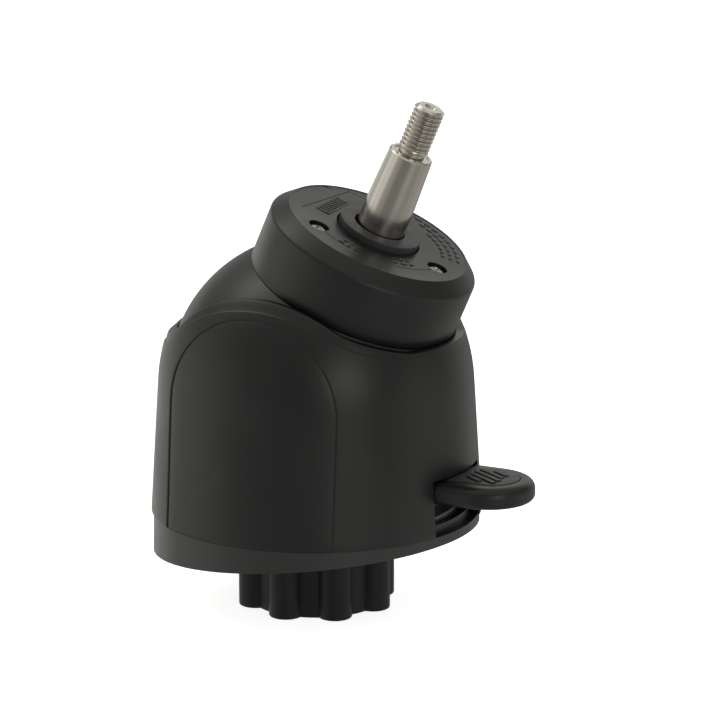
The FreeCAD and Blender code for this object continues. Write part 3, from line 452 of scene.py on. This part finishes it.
def cast(name, colour):
    """Die-cast alloy: satin, slightly sandy, with darker patches where the release agent stayed."""
    shader = Shader(name)
    place = shader.coordinates()
    sand = shader.noise(place, scale=1 / (0.5 * MM), detail=4.0, rough=0.7)
    patch = shader.noise(place, scale=60.0)
    shader.set(Base_Color=shader.blend(shader.between(patch, 0.0, 0.7), colour, times(colour, 0.7)),
               Metallic=1.0,
               Roughness=shader.between(sand, 0.42, 0.6),
               Normal=shader.bump(sand, 0.6, 0.05 * MM, shader.rounded(0.4 * MM)))
    return shader.material


# one material for each slot name in the CAD record
FINISHES = {
    "ring_plastic": moulded("ring_satin", (0.018, 0.018, 0.018), 0.33, shine=0.43, grain=0.5,
                            depth=0.02),
    # the housing's edges are lightened more: handling wear plus painted highlight lines along its ridge and panel
    # edges
    "housing_plastic": moulded("housing_matt", (0.0075, 0.0075, 0.0078), 0.32, edge_wear_and_highlight=0.6),
    # the spigot's own matt black, with its base colour made darker and its shine weaker than the housing's:
    # painted shade for the shadow that falls on the lobes
    "spigot_plastic": moulded("spigot_black_painted_shade", (0.006, 0.006, 0.0065), 0.45, shine=0.25),
    "rubber": rubbery("soft_rubber", (0.02, 0.02, 0.021), 0.45),
    "cast_alloy": cast("cast_alloy", (0.62, 0.63, 0.64)),
    "bronze": metal("turned_bronze", (0.72, 0.5, 0.25), 0.32, stretch=(0.1, 0.1, 1), scale=1500.0),
    "stainless": metal("turned_stainless", (0.575, 0.545, 0.495), 0.17, stretch=(0.06, 0.06, 1),
                       scale=5000.0, depth=0.004, tilted=True, dull=0.92),
    "steel": metal("zinc_plated_steel", (0.38, 0.37, 0.35), 0.24, scale=600.0),
}


# ---------------------------------------------------------------- housing

def wall(height):
    """Outside radius of the cover at a height."""
    if height <= KNEE:
        return FOOT_RADIUS + (KNEE_RADIUS - FOOT_RADIUS) * (height - FOOT) / (KNEE - FOOT)
    chord = Vector((TOP_RADIUS - KNEE_RADIUS, TOP - KNEE))
    middle = Vector((TOP_RADIUS + KNEE_RADIUS, TOP + KNEE)) / 2
    inward = Vector((-chord.y, chord.x)).normalized()
    centre = middle + inward * math.sqrt(SHOULDER ** 2 - (chord.length / 2) ** 2)
    return centre.x + math.sqrt(SHOULDER ** 2 - (height - centre.y) ** 2)


def arch(x):
    """Height of the rim at a distance from the tilt axis's own plane."""
    x = min(abs(x), ARCH_REACH)
    swing = 2 * math.atan((CROWN - ARCH_LOW) / ARCH_REACH)
    foot = ARCH_REACH / math.sin(swing) - ARCH_CROWN
    if x < ARCH_CROWN * math.sin(swing):
        return CROWN - ARCH_CROWN + math.sqrt(ARCH_CROWN ** 2 - x ** 2)
    return ARCH_LOW + foot - math.sqrt(foot ** 2 - (ARCH_REACH - x) ** 2)


def ease(amount):
    """0 up to 0, 1 from 1 on, and a smooth step between."""
    amount = max(0.0, min(1.0, amount))
    return amount * amount * (3 - 2 * amount)


def clear_radius(angle, height, gap):
    """Smallest radius at which the rim clears the dome and the cap as the head swings both ways."""
    up = height - PIVOT
    reach = math.sqrt((DOME + gap) ** 2 - up ** 2)
    cap = CAP_RADIUS + CAP_SIDE_CLEAR
    for tilt in (-SWING, 0.0, LEAN):
        along = math.cos(angle) * math.sin(tilt)
        a = 1 - along ** 2
        b = -2 * along * up * math.cos(tilt)
        c = (up * math.sin(tilt)) ** 2 - cap ** 2
        touch = (-b + math.sqrt(b * b - 4 * a * c)) / (2 * a)
        if touch * along + up * math.cos(tilt) > CAP_LOW - CAP_LOW_CLEAR:
            reach = max(reach, touch)
    return reach


def cap_edge(angle):
    """Height of the cap's lower edge at rest, in a direction seen from above."""
    centre = CAP_LOW * math.sin(LEAN)
    reach = CAP_RADIUS * math.cos(LEAN)
    a = (math.cos(angle) / reach) ** 2 + (math.sin(angle) / CAP_RADIUS) ** 2
    b = -2 * centre * math.cos(angle) / reach ** 2
    c = (centre / reach) ** 2 - 1
    out = (-b + math.sqrt(b * b - 4 * a * c)) / (2 * a)
    share = (out * math.cos(angle) - centre) / reach
    return PIVOT + CAP_LOW * math.cos(LEAN) - share * CAP_RADIUS * math.sin(LEAN)


def rim(angle):
    """The rim at an angle: heights of its ridge, corner and lip, its band, ledge and gap, and how far it is
    at the cover's low front."""
    corner = CROWN
    for _ in range(12):
        corner = arch(wall(corner) * math.cos(angle))
    low_end = ease((abs(wall(corner) * math.cos(angle)) - LOW_START) / LOW_RAMP)
    front = low_end if math.cos(angle) > 0 else 0.0
    back = low_end - front
    band = BAND - BAND_LESS_FRONT * front - BAND_LESS_LOW * low_end
    ledge = LEDGE * (1 - LEDGE_LESS_FRONT * front)
    gap = DOME_GAP - DOME_GAP_LESS_LOW * low_end
    corner += RISE_FRONT * front - DROP_BACK * back
    lip = corner + LIP + LIP_MORE_BACK * back
    lift = max(0.0, cap_edge(angle) - CAP_CLEAR - lip) * ease(wall(corner) * math.cos(angle) / LOW_START)
    lip += lift
    corner += CORNER_LIFT * lift
    ridge = corner - band - RIDGE_DROP * lift
    return ridge, corner, lip, band, ledge, gap, front


def cover_section(angle, steps_up=26, steps_down=8):
    """The cover's wall at an angle: up the outside, over the ledge and the rim, and down the inside."""
    ridge, corner, lip, band, ledge, gap, front = rim(angle)
    rise = [FOOT + (ridge - FOOT) * n / steps_up for n in range(1, steps_up)]
    inside = [lip - LIP_DEEP + (PIVOT - lip + LIP_DEEP) * n / steps_down for n in range(steps_down + 1)]
    profile = [(FOOT_RADIUS, FOOT, 0.5)]
    profile += [(wall(z), z, 0) for z in rise]
    profile += [(wall(ridge), ridge, 0.08),
                (wall(ridge) - 0.75 * ledge, ridge + 0.68 * ledge, 0.06),
                (wall(ridge) - 1.48 * ledge, ridge + 0.81 * ledge, 0.1),
                (wall(ridge + band / 2) - ledge, ridge + band / 2, 0),
                (wall(corner) - ledge, corner, 1.0 - 0.4 * front),
                (clear_radius(angle, lip, gap), lip, 0.45)]
    profile += [(clear_radius(angle, z, gap), z, 0) for z in inside]
    profile += [(FOOT_RADIUS - WALL, FOOT, 0.3)]
    return filleted(profile, steps=4)


def cheek_loop(inset, depth, side, top=14, up=16, along=12):
    """Arch-shaped outline on the cover's skin, drawn in by an inset and raised off the skin by a depth."""
    half = PANEL_HALF - inset
    centre, base = PANEL_TOP - PANEL_HALF, FOOT + PANEL_FOOT + inset
    flat = [(-half + 2 * half * n / along, base) for n in range(along)]
    flat += [(half, base + (centre - base) * n / up) for n in range(up)]
    flat += [(half * math.cos(a), centre + half * math.sin(a))
             for a in (math.pi * n / (2 * top) for n in range(2 * top))]
    flat += [(-half, centre + (base - centre) * n / up) for n in range(up)]
    return [(x, side * math.sqrt((wall(z) + depth) ** 2 - x ** 2), z) for x, z in flat]


def cheek_panel(side, steps=4):
    """Side panel: a curved plate a little below the skin, with its outer edge rounded."""
    loops = [cheek_loop(inset, -PANEL_DEEP, side) for inset in reversed(PANEL_INSETS)]
    for n in range(steps + 1):
        a = math.pi / 2 * n / steps
        inset, sunk = PANEL_ROUND * (1 - math.cos(a)), -PANEL_SUNK - PANEL_ROUND * (1 - math.sin(a))
        loops.append(cheek_loop(inset, sunk, side))
    loops += [cheek_loop(inset, -PANEL_SUNK, side) for inset in PANEL_INSETS]
    return bridged(loops)


def cheek_recess(side, steps=6):
    """What is cut from the cover for a side panel, flared so that the skin rolls in towards the panel."""
    floor = -PANEL_DEEP - RECESS_FLOOR
    loops = [cheek_loop(inset, floor, side) for inset in reversed(PANEL_INSETS)]
    loops.append(cheek_loop(-PANEL_GAP, floor, side))
    for n in range(steps + 1):
        a = PANEL_ROLL_TURN * n / steps
        inset, sunk = -PANEL_GAP - PANEL_ROLL * (1 - math.cos(a)), PANEL_SUNK * (math.sin(a) - 1)
        loops.append(cheek_loop(inset, sunk, side))
    loops.append(cheek_loop(-PANEL_GAP - PANEL_ROLL, RECESS_ABOVE, side))
    loops += [cheek_loop(inset, RECESS_ABOVE, side) for inset in PANEL_INSETS]
    return bridged(loops)


def slot_box():
    """The lever's slot through the front of the wall, with rounded upper corners."""
    outline = filleted([(-SLOT_HALF, FOOT - 2 * OVERCUT, 0), (SLOT_HALF, FOOT - 2 * OVERCUT, 0),
                        (SLOT_HALF, SLOT_TOP, SLOT_CORNER), (-SLOT_HALF, SLOT_TOP, SLOT_CORNER)])
    return prism([[(x, y, z) for y, z in outline] for x in SLOT_CUT])


def make_housing():
    """The cover with its slot and recesses, and a panel in each cheek."""
    cover = mesh_object("cover_shell", turned(cover_section, 240))
    carve(cover, slot_box())
    for side in (1, -1):
        carve(cover, cheek_recess(side))
    shown(cover, "base", "housing_plastic", "housing_cover")
    for side, node in ((1, "side_panel_right"), (-1, "side_panel_left")):
        panel = mesh_object("cheek_" + node.split("_")[-1], cheek_panel(side))
        shown(panel, "base", "housing_plastic", node)


# ---------------------------------------------------------------- spigot

def lobed(angle, inset=0.0):
    """Radius of the spigot's outline at an angle: round lobes on a round core."""
    half = math.pi / LOBES
    off = (angle + half) % (2 * half) - half
    side = LOBE_CIRCLE * math.sin(off)
    lobe, core = LOBE - inset, CORE - inset
    if abs(side) >= lobe:
        return core
    return max(core, LOBE_CIRCLE * math.cos(off) + math.sqrt(lobe ** 2 - side ** 2))


def spigot_section(angle, steps=5):
    """Half a cut through the spigot at an angle, with the lobes' lower edge rounded."""
    section = []
    for n in range(steps, -1, -1):
        a = math.pi / 2 * n / steps
        section.append((lobed(angle, FOOT_ROUND * (1 - math.cos(a))),
                        SPIGOT_LOW + FOOT_ROUND * (1 - math.sin(a))))
    section += [(lobed(angle), FLANGE_LOW), (FLANGE - FLANGE_BEVEL, FLANGE_LOW),
                (FLANGE, FLANGE_LOW + FLANGE_BEVEL), (FLANGE, FLANGE_TOP), (SPIGOT_BORE, FLANGE_TOP),
                (SPIGOT_BORE, SPIGOT_LOW + BORE_BEVEL), (SPIGOT_BORE + BORE_BEVEL, SPIGOT_LOW)]
    return section


def on_circle(circle, angle, height=0.0, turn=0.0):
    """A place on a circle about Z, turned about Z."""
    return spot(circle * math.cos(angle), circle * math.sin(angle), height, turn)


def drilled(radius, circle, low, high, count, start=0.0, sides=32):
    """Round holes standing in a circle."""
    edge = [math.tau * n / sides for n in range(sides)]
    hole = prism([[(radius * math.cos(a), radius * math.sin(a), z) for a in edge] for z in (low, high)])
    return joined([moved(hole, on_circle(circle, start + math.tau * n / count)) for n in range(count)])


def make_spigot():
    """The lobed spigot, open for the inserts below and for the frame's screws in its flange."""
    spigot = mesh_object("spigot_casting", turned(spigot_section, 384))
    carve(spigot, drilled(INSERT + HOLE_FIT, INSERT_CIRCLE, SPIGOT_LOW - OVERCUT, SPIGOT_LOW + INSERT_DEEP,
                          INSERTS, start=math.pi / INSERTS))
    carve(spigot, drilled(FRAME_SCREW_HOLE, FRAME_SCREW_CIRCLE, FLANGE_LOW + HOLE_FLOOR,
                          FLANGE_TOP + OVERCUT, FRAME_SCREWS))
    shown(spigot, "base", "spigot_plastic", "lobed_spigot")


# ---------------------------------------------------------------- head cap

def cap_shell():
    """Half a cut through the cap: its drafted side, bevel, low outer rim, sunk face and open inside."""
    outer, inner, under = CAP_RADIUS, CAP_RADIUS - CAP_WALL, CAP_FACE - CAP_WALL
    return filleted([(outer, CAP_LOW, 0.7), (outer, CAP_SHOULDER, 2.2), (CAP_FACE_RADIUS, CAP_FACE, 0.25),
                     (CAP_FACE_RADIUS - CAP_RIM, CAP_FACE, 0.1), (CAP_FACE_RADIUS - CAP_RIM, FACE, 0.1),
                     (COLLAR + COLLAR_GAP, FACE, 0.3), (COLLAR + COLLAR_GAP, under, 0),
                     (inner - 4, under, 0), (inner, CAP_SHOULDER - 1.5, 0), (inner, CAP_LOW, 0.3)])


def arc_row(radius, start, stop, dashes):
    """Plain raised dashes along an arc of the cap's face, between two angles in degrees."""
    made = []
    start, stop = math.radians(start), math.radians(stop)
    step = (stop - start) / len(dashes)
    for index, share in enumerate(dashes):
        angle = start + step * (index + 0.5)
        dash = bar(share * radius * step, DASH_WIDE, DASH_RISE)
        made.append(moved(dash, on_circle(radius, angle, FACE, angle + math.pi / 2)))
    return made


def cap_marks():
    """Generic moulded marks: a framed hatched block, and plain dashes where a maker would put notes."""
    corner = spot(*HATCH_CENTRE, FACE, HATCH_TURN)
    short_bar, long_bar = (bar(length, HATCH_FRAME, HATCH_RISE) for length in (HATCH_WIDE, HATCH_LONG))
    stripe = bar(HATCH_WIDE - STRIPE_SHORTER, STRIPE, HATCH_RISE)
    ends = [moved(short_bar, corner @ spot(0, side * HATCH_LONG / 2, 0)) for side in (1, -1)]
    sides = [moved(long_bar, corner @ spot(side * HATCH_WIDE / 2, 0, 0, math.pi / 2)) for side in (1, -1)]
    stripes = [moved(stripe, corner @ spot(0, STRIPE_PITCH * n, 0, STRIPE_TURN)) for n in range(-4, 5)]
    rows = []
    full, short = DASH_FULL, DASH_SHORT
    for radius, count in ((33.2, 9), (30.0, 8), (26.8, 6)):
        rows += arc_row(radius, NOTE_START, NOTE_START + NOTE_STEP * count, (full,) * count)
    for radius in (24.6, 21.6):
        rows += arc_row(radius, -48, -22, (short, full, short))
        rows += arc_row(radius + 2, -98, -76, (full, short, full))
    return ends, sides, stripes, rows


def groove(length):
    """The tool for a fine engraved line."""
    return bar(length, GROOVE, GROOVE_ABOVE, sunk=GROOVE_DEEP)


def cap_grooves():
    """Engraved lines in groups that don't overlap: a corner bracket, and arcs beside the screws."""
    bracket = [moved(groove(38.0), spot(-26.6, 1.8, FACE, math.pi / 2)),
               moved(groove(9.0), spot(-23.0, 22.2, FACE, math.radians(15)))]
    arcs = []
    for start, stop in ((-111, -84), (-46, -9)):
        sweep = math.radians(stop - start)
        line = groove(SCREW_CIRCLE * sweep / ARC_PIECES + ARC_OVERLAP)
        for n in range(ARC_PIECES):
            angle = math.radians(start) + sweep * (n + 0.5) / ARC_PIECES
            arcs.append(moved(line, on_circle(SCREW_CIRCLE, angle, FACE, angle + math.pi / 2)))
    return bracket[:1], bracket[1:], arcs[::2], arcs[1::2]


def rim_tick():
    """Small notch in the face, beside the rim, as an index mark."""
    outline = [(-33.8, 13.4), (-34.4, 11.6), (-29.8, 14.6)]
    return prism([[(x, y, z) for x, y in outline] for z in (FACE - TICK_DEEP, CAP_FACE + OVERCUT)])


def collar_section(angle):
    """Flat-topped collar, whose bore sits a little off the shaft's axis."""
    low, high = CAP_FACE - CAP_WALL, CAP_FACE + COLLAR_RISE
    bore = COLLAR_BORE - COLLAR_OFFSET * math.cos(angle)
    return filleted([(COLLAR, low, 0.2), (COLLAR, high, 0.3), (bore, high, 0.3), (bore, low, 0.3)])


def make_cap():
    """The cap with its screw holes, engraved lines and raised marks, and the collar round the shaft."""
    cap = mesh_object("cap_shell", turned(cap_shell(), 192), HEAD)
    carve(cap, drilled(WELL, SCREW_CIRCLE, CAP_FACE - WELL_DEEP, CAP_FACE + OVERCUT, CAP_SCREWS, sides=48))
    carve(cap, drilled(SCREW_HOLE, SCREW_CIRCLE, CAP_FACE - HOLE_LOW, CAP_FACE - HOLE_HIGH, CAP_SCREWS))
    carve(cap, rim_tick())
    for group in cap_grooves():
        carve(cap, joined(group))
    for group in cap_marks():
        carve(cap, joined(group), "UNION")
    shown(cap, "head", "housing_plastic", "head_cap")
    collar = mesh_object("collar_lip", turned(collar_section), HEAD)
    shown(collar, "head", "rubber", "dust_collar")


def cap_screw():
    """Half a cut through a pan-head screw, standing on z = 0 with its shank below."""
    return filleted([(0, HEAD_HEIGHT, 0), (1.6, 1.12, 0), (2.9, 0.75, 0.4), (HEAD_RADIUS, 0.0, 0.1),
                     (SHANK, 0.0, 0.2), (SHANK, -9.6, 0.3), (0, SHANK_END, 0)])


def cross_blades():
    """The two tapered blades of a driver bit, which leave a cross in a screw's head."""
    def level(z, long, wide):
        return [(long, wide, z), (-long, wide, z), (-long, -wide, z), (long, -wide, z)]

    blade = prism([level(HEAD_HEIGHT + CROSS_ABOVE, CROSS_REACH, 0.42),
                   level(HEAD_HEIGHT - CROSS_DEEP * 0.6, CROSS_REACH * 0.8, 0.34),
                   level(HEAD_HEIGHT - CROSS_DEEP, CROSS_REACH * 0.35, 0.2)])
    return [moved(blade, Matrix.Rotation(turn, 4, "Z")) for turn in (0, math.pi / 2)]


def make_cap_screws():
    """The cap's screws, each in its well. They stand for one CAD node together."""
    for number in range(CAP_SCREWS):
        turn = math.tau * number / CAP_SCREWS
        seat = Vector((SCREW_CIRCLE * math.cos(turn), SCREW_CIRCLE * math.sin(turn), CAP_FACE - WELL_DEEP))
        place = HEAD @ Matrix.Translation(seat * MM) @ Matrix.Rotation(SCREW_TURN + turn, 4, "Z")
        screw = mesh_object(f"cap_screw_{number + 1}", turned(cap_screw(), 48), place)
        for blade in cross_blades():
            carve(screw, blade)
        nodes = ("cap_screws",) if number == 0 else ()
        shown(screw, "head", "steel", *nodes)


# ---------------------------------------------------------------- steering shaft

def thread(angle, height):
    """How deep the thread is cut at an angle and height, from 0 at a crest to 1 at the root."""
    if not THREAD_START < height < THREAD_STOP:
        return 0.0
    phase = (height / PITCH - angle / math.tau) % 1.0
    depth = 1 - abs(2 * phase - 1)
    depth = ease((depth - THREAD_FLAT) / THREAD_FLANK)
    start, stop = (height - THREAD_START) / PITCH, (THREAD_STOP - height) / (0.5 * PITCH) + 0.4
    return depth * ease(start) * ease(stop)


def shaft_profile(ball_steps=20, taper_steps=6):
    """Half a cut through the shaft without its thread: ball end, collar, journal, taper and stud."""
    taper_stop = SHAFT_SHOULDER - 0.5
    profile = [(BALL_END * math.sin(a), -BALL_END * math.cos(a))
               for a in (BALL_END_TURN * n / ball_steps for n in range(ball_steps + 1))]
    profile += [(NECK, THRUST_START - 1), (THRUST_COLLAR, THRUST_START), (THRUST_COLLAR, THRUST_END),
                (JOURNAL, THRUST_END), (JOURNAL, JOURNAL_END), (SHAFT, 60.8), (SHAFT, 70.0),
                (SHAFT, TAPER_START)]
    profile += [(SHAFT + (TAPER_END - SHAFT) * n / taper_steps,
                 TAPER_START + (SHAFT_SHOULDER - TAPER_START - 0.5) * n / taper_steps)
                for n in range(1, taper_steps + 1)]
    # a small chamfer, then a turned hollow round the foot of the stud
    profile += [(TAPER_END - 0.5, SHAFT_SHOULDER), (7.1, SHAFT_SHOULDER), (6.9, taper_stop),
                (5.3, taper_stop), (5.1, SHAFT_SHOULDER + 1.6), (STUD - 0.5, THREAD_START)]
    profile += [(STUD, THREAD_START + (THREAD_STOP - THREAD_START) * n / THREAD_STEPS)
                for n in range(1, THREAD_STEPS)]
    # the stud's chamfered end, and the centre hole that the lathe leaves in it
    profile += [(STUD - 0.25, STUD_END - 0.6), (STUD - 1.2, STUD_END), (2.6, STUD_END),
                (2.3, STUD_END - 0.2), (1.0, STUD_END - 2.4), (0.9, STUD_END - 3.4), (0.0, STUD_END - 3.8)]
    return profile


def make_shaft():
    """The steering shaft with its thread, keyway and cross hole."""
    profile = shaft_profile()

    def section(angle):
        return [(r - (STUD - STUD_ROOT) * thread(angle, z), z) for r, z in profile]

    shaft = mesh_object("shaft_machined", turned(section, 96), HEAD)
    key = [(-SHAFT - 2, -KEY_HALF), (-SHAFT + KEY_DEEP, -KEY_HALF), (-SHAFT + KEY_DEEP, KEY_HALF),
           (-SHAFT - 2, KEY_HALF)]
    carve(shaft, prism([[(x, y, z) for x, y in key] for z in (TAPER_START - 1, SHAFT_SHOULDER - 3.5)]))
    hole = [(CROSS_HOLE * math.cos(math.tau * n / 32), CROSS_HOLE * math.sin(math.tau * n / 32))
            for n in range(32)]
    carve(shaft, prism([[(x, y, z) for x, z in hole] for y in (-20.0, 20.0)]))
    shown(shaft, "shaft", "stainless", "steering_shaft")


# ---------------------------------------------------------------- lever pad

def make_pad():
    """Soft inlay with a crowned top and slanting ribs for the thumb, each in a fine groove."""
    levels = [(0.0, PAD_LOW)] + [(inset, PAD_TOP + rise) for inset, rise in PAD_LEVELS]
    pad = mesh_object("pad_inlay", prism([tongue(PAD_HALF - inset, PAD_CENTRE, PAD_START + inset * 0.5, z)
                                          for inset, z in levels]))
    grooves, ribs = [], []
    for number, length, slide in RIBS:
        place = spot(RIB_CENTRE, RIB_PITCH * number, PAD_TOP, RIB_ANGLE) @ Matrix.Translation((slide, 0, 0))
        grooves.append(moved(bar(length + RIB_GROOVE, RIB_WIDTH + RIB_GROOVE, OVERCUT,
                                 sunk=RIB_GROOVE_DEEP), place))
        ribs.append(moved(bar(length, RIB_WIDTH, RIB_RISE, sunk=RIB_SUNK), place))
    carve(pad, joined(grooves))
    carve(pad, joined(ribs), "UNION")
    shown(pad, "lever", "rubber", "lever_pad")


# ---------------------------------------------------------------- stage

# the floor, in metres
FLOOR_HALF, FLOOR_BELOW, FLOOR_GLOW = 6.0, 0.0002, 0.85

# the camera, in degrees and metres, with its aim in millimetres
CAMERA_AZIMUTH, CAMERA_ELEVATION, CAMERA_DISTANCE = 28.0, 13.1, 1.2
CAMERA_AIM = Vector((9.05, 19.8, 67.3)) * MM

# the studio: a dim tent all round, and soft glows in it, each with its azimuth, elevation, half angle
# of the whole glow and of its full strength, in degrees, then the strength
TENT = 0.25
TENT_COLOUR = (1.0, 0.99, 0.94, 1)
GLOWS = (
    ("overhead", 0, 90, 50, 20, 0.38),
    ("left top", -86, 55, 36, 6, 0.8),
    ("left spot", -86, 52, 15, 3, 1.6),
    ("right top", 90, 50, 42, 10, 0.2),
    ("front top", 0, 45, 42, 10, 0.06),
    ("left", -86, -6, 30, 6, 0.35),
    ("left back", -116, 18, 34, 6, 0.17),
    ("left back low", -122, -16, 32, 6, 0.48),
    ("left front", -60, 4, 30, 6, 0.53),
    ("front left", -32, -6, 30, 6, 0.16),
    ("front above", -28, 24, 34, 8, 0.09),
    ("right window", 51, 13, 26, 4, 0.75),
    ("right spot", 51, 14, 12, 3, 1.2),
    ("right low", 55, -12, 30, 6, 0.2),
    ("right side", 106, -8, 32, 6, 0.4),
    ("back", -170, 28, 34, 6, 0.58),
    ("back right", 156, -10, 34, 6, 0.22),
    ("below left", -50, -35, 34, 8, 0.3),
    ("below right front", 58, -42, 32, 8, 0.1),
    ("below right", 125, -42, 34, 8, 0.15),
)


def toward(azimuth, elevation):
    """Direction to a point in the studio. Azimuth 0 is the front (-Y) and 90 the right (+X), in degrees."""
    around, up = math.radians(azimuth), math.radians(elevation)
    return Vector((math.sin(around) * math.cos(up), -math.cos(around) * math.cos(up), math.sin(up)))


def make_stage():
    """A plain pale floor, far wider than the picture. It glows, so that it fades into white."""
    floor = bpy.data.meshes.new("floor")
    level = cad_box[0].z - FLOOR_BELOW
    corners = [(x * FLOOR_HALF, y * FLOOR_HALF, level) for x, y in ((-1, -1), (1, -1), (1, 1), (-1, 1))]
    floor.from_pydata(corners, [], [(0, 1, 2, 3)])
    stage = bpy.data.objects.new("floor", floor)
    bpy.context.scene.collection.objects.link(stage)
    paper = Shader("pale_paper")
    paper.set(Base_Color=(0.92, 0.92, 0.92, 1), Roughness=0.8,
              Emission_Color=(1, 1, 1, 1), Emission_Strength=FLOOR_GLOW)
    floor.materials.append(paper.material)
    stage.visible_glossy = False


def make_camera():
    """The camera at the photograph's angle, with a long lens."""
    camera = bpy.data.cameras.new("camera")
    camera.lens, camera.sensor_width = 150, 36
    camera.clip_start, camera.clip_end = 0.05, 50
    thing = bpy.data.objects.new("camera", camera)
    bpy.context.scene.collection.objects.link(thing)
    back = toward(CAMERA_AZIMUTH, CAMERA_ELEVATION)
    thing.location = CAMERA_AIM + back * CAMERA_DISTANCE
    thing.rotation_mode = "QUATERNION"
    thing.rotation_quaternion = (-back).to_track_quat("-Z", "Y")
    bpy.context.scene.camera = thing


def make_light():
    """The world as a tent whose brightness depends on the direction alone."""
    world = bpy.data.worlds.new("studio")
    world.use_nodes = True
    bpy.context.scene.world = world
    tree = world.node_tree
    direction = tree.nodes.new("ShaderNodeTexCoord").outputs["Generated"]
    total = None
    for label, azimuth, elevation, outer, inner, strength in GLOWS:
        facing = tree.nodes.new("ShaderNodeVectorMath")
        facing.operation = "DOT_PRODUCT"
        tree.links.new(direction, facing.inputs[0])
        facing.inputs[1].default_value = toward(azimuth, elevation)
        glow = tree.nodes.new("ShaderNodeMapRange")
        glow.label, glow.interpolation_type = label, "SMOOTHSTEP"
        tree.links.new(facing.outputs["Value"], glow.inputs["Value"])
        glow.inputs["From Min"].default_value = math.cos(math.radians(outer))
        glow.inputs["From Max"].default_value = math.cos(math.radians(inner))
        glow.inputs["To Max"].default_value = strength
        step = tree.nodes.new("ShaderNodeMath")
        tree.links.new(glow.outputs[0], step.inputs[0])
        if total:
            tree.links.new(total, step.inputs[1])
        else:
            step.inputs[1].default_value = TENT
        total = step.outputs[0]
    sky = tree.nodes["Background"]
    sky.inputs["Color"].default_value = TENT_COLOUR
    tree.links.new(total, sky.inputs["Strength"])
    bpy.context.scene.view_settings.view_transform = "Standard"


# ---------------------------------------------------------------- the scene

for part in frame["record"]["subparts"]:
    mesh = frame["nodes"][part["node"]].data
    mesh.materials.clear()
    mesh.materials.append(FINISHES[part["material_slot"]])

make_housing()
make_spigot()
make_cap()
make_cap_screws()
make_shaft()
make_pad()
make_stage()
make_camera()
make_light()
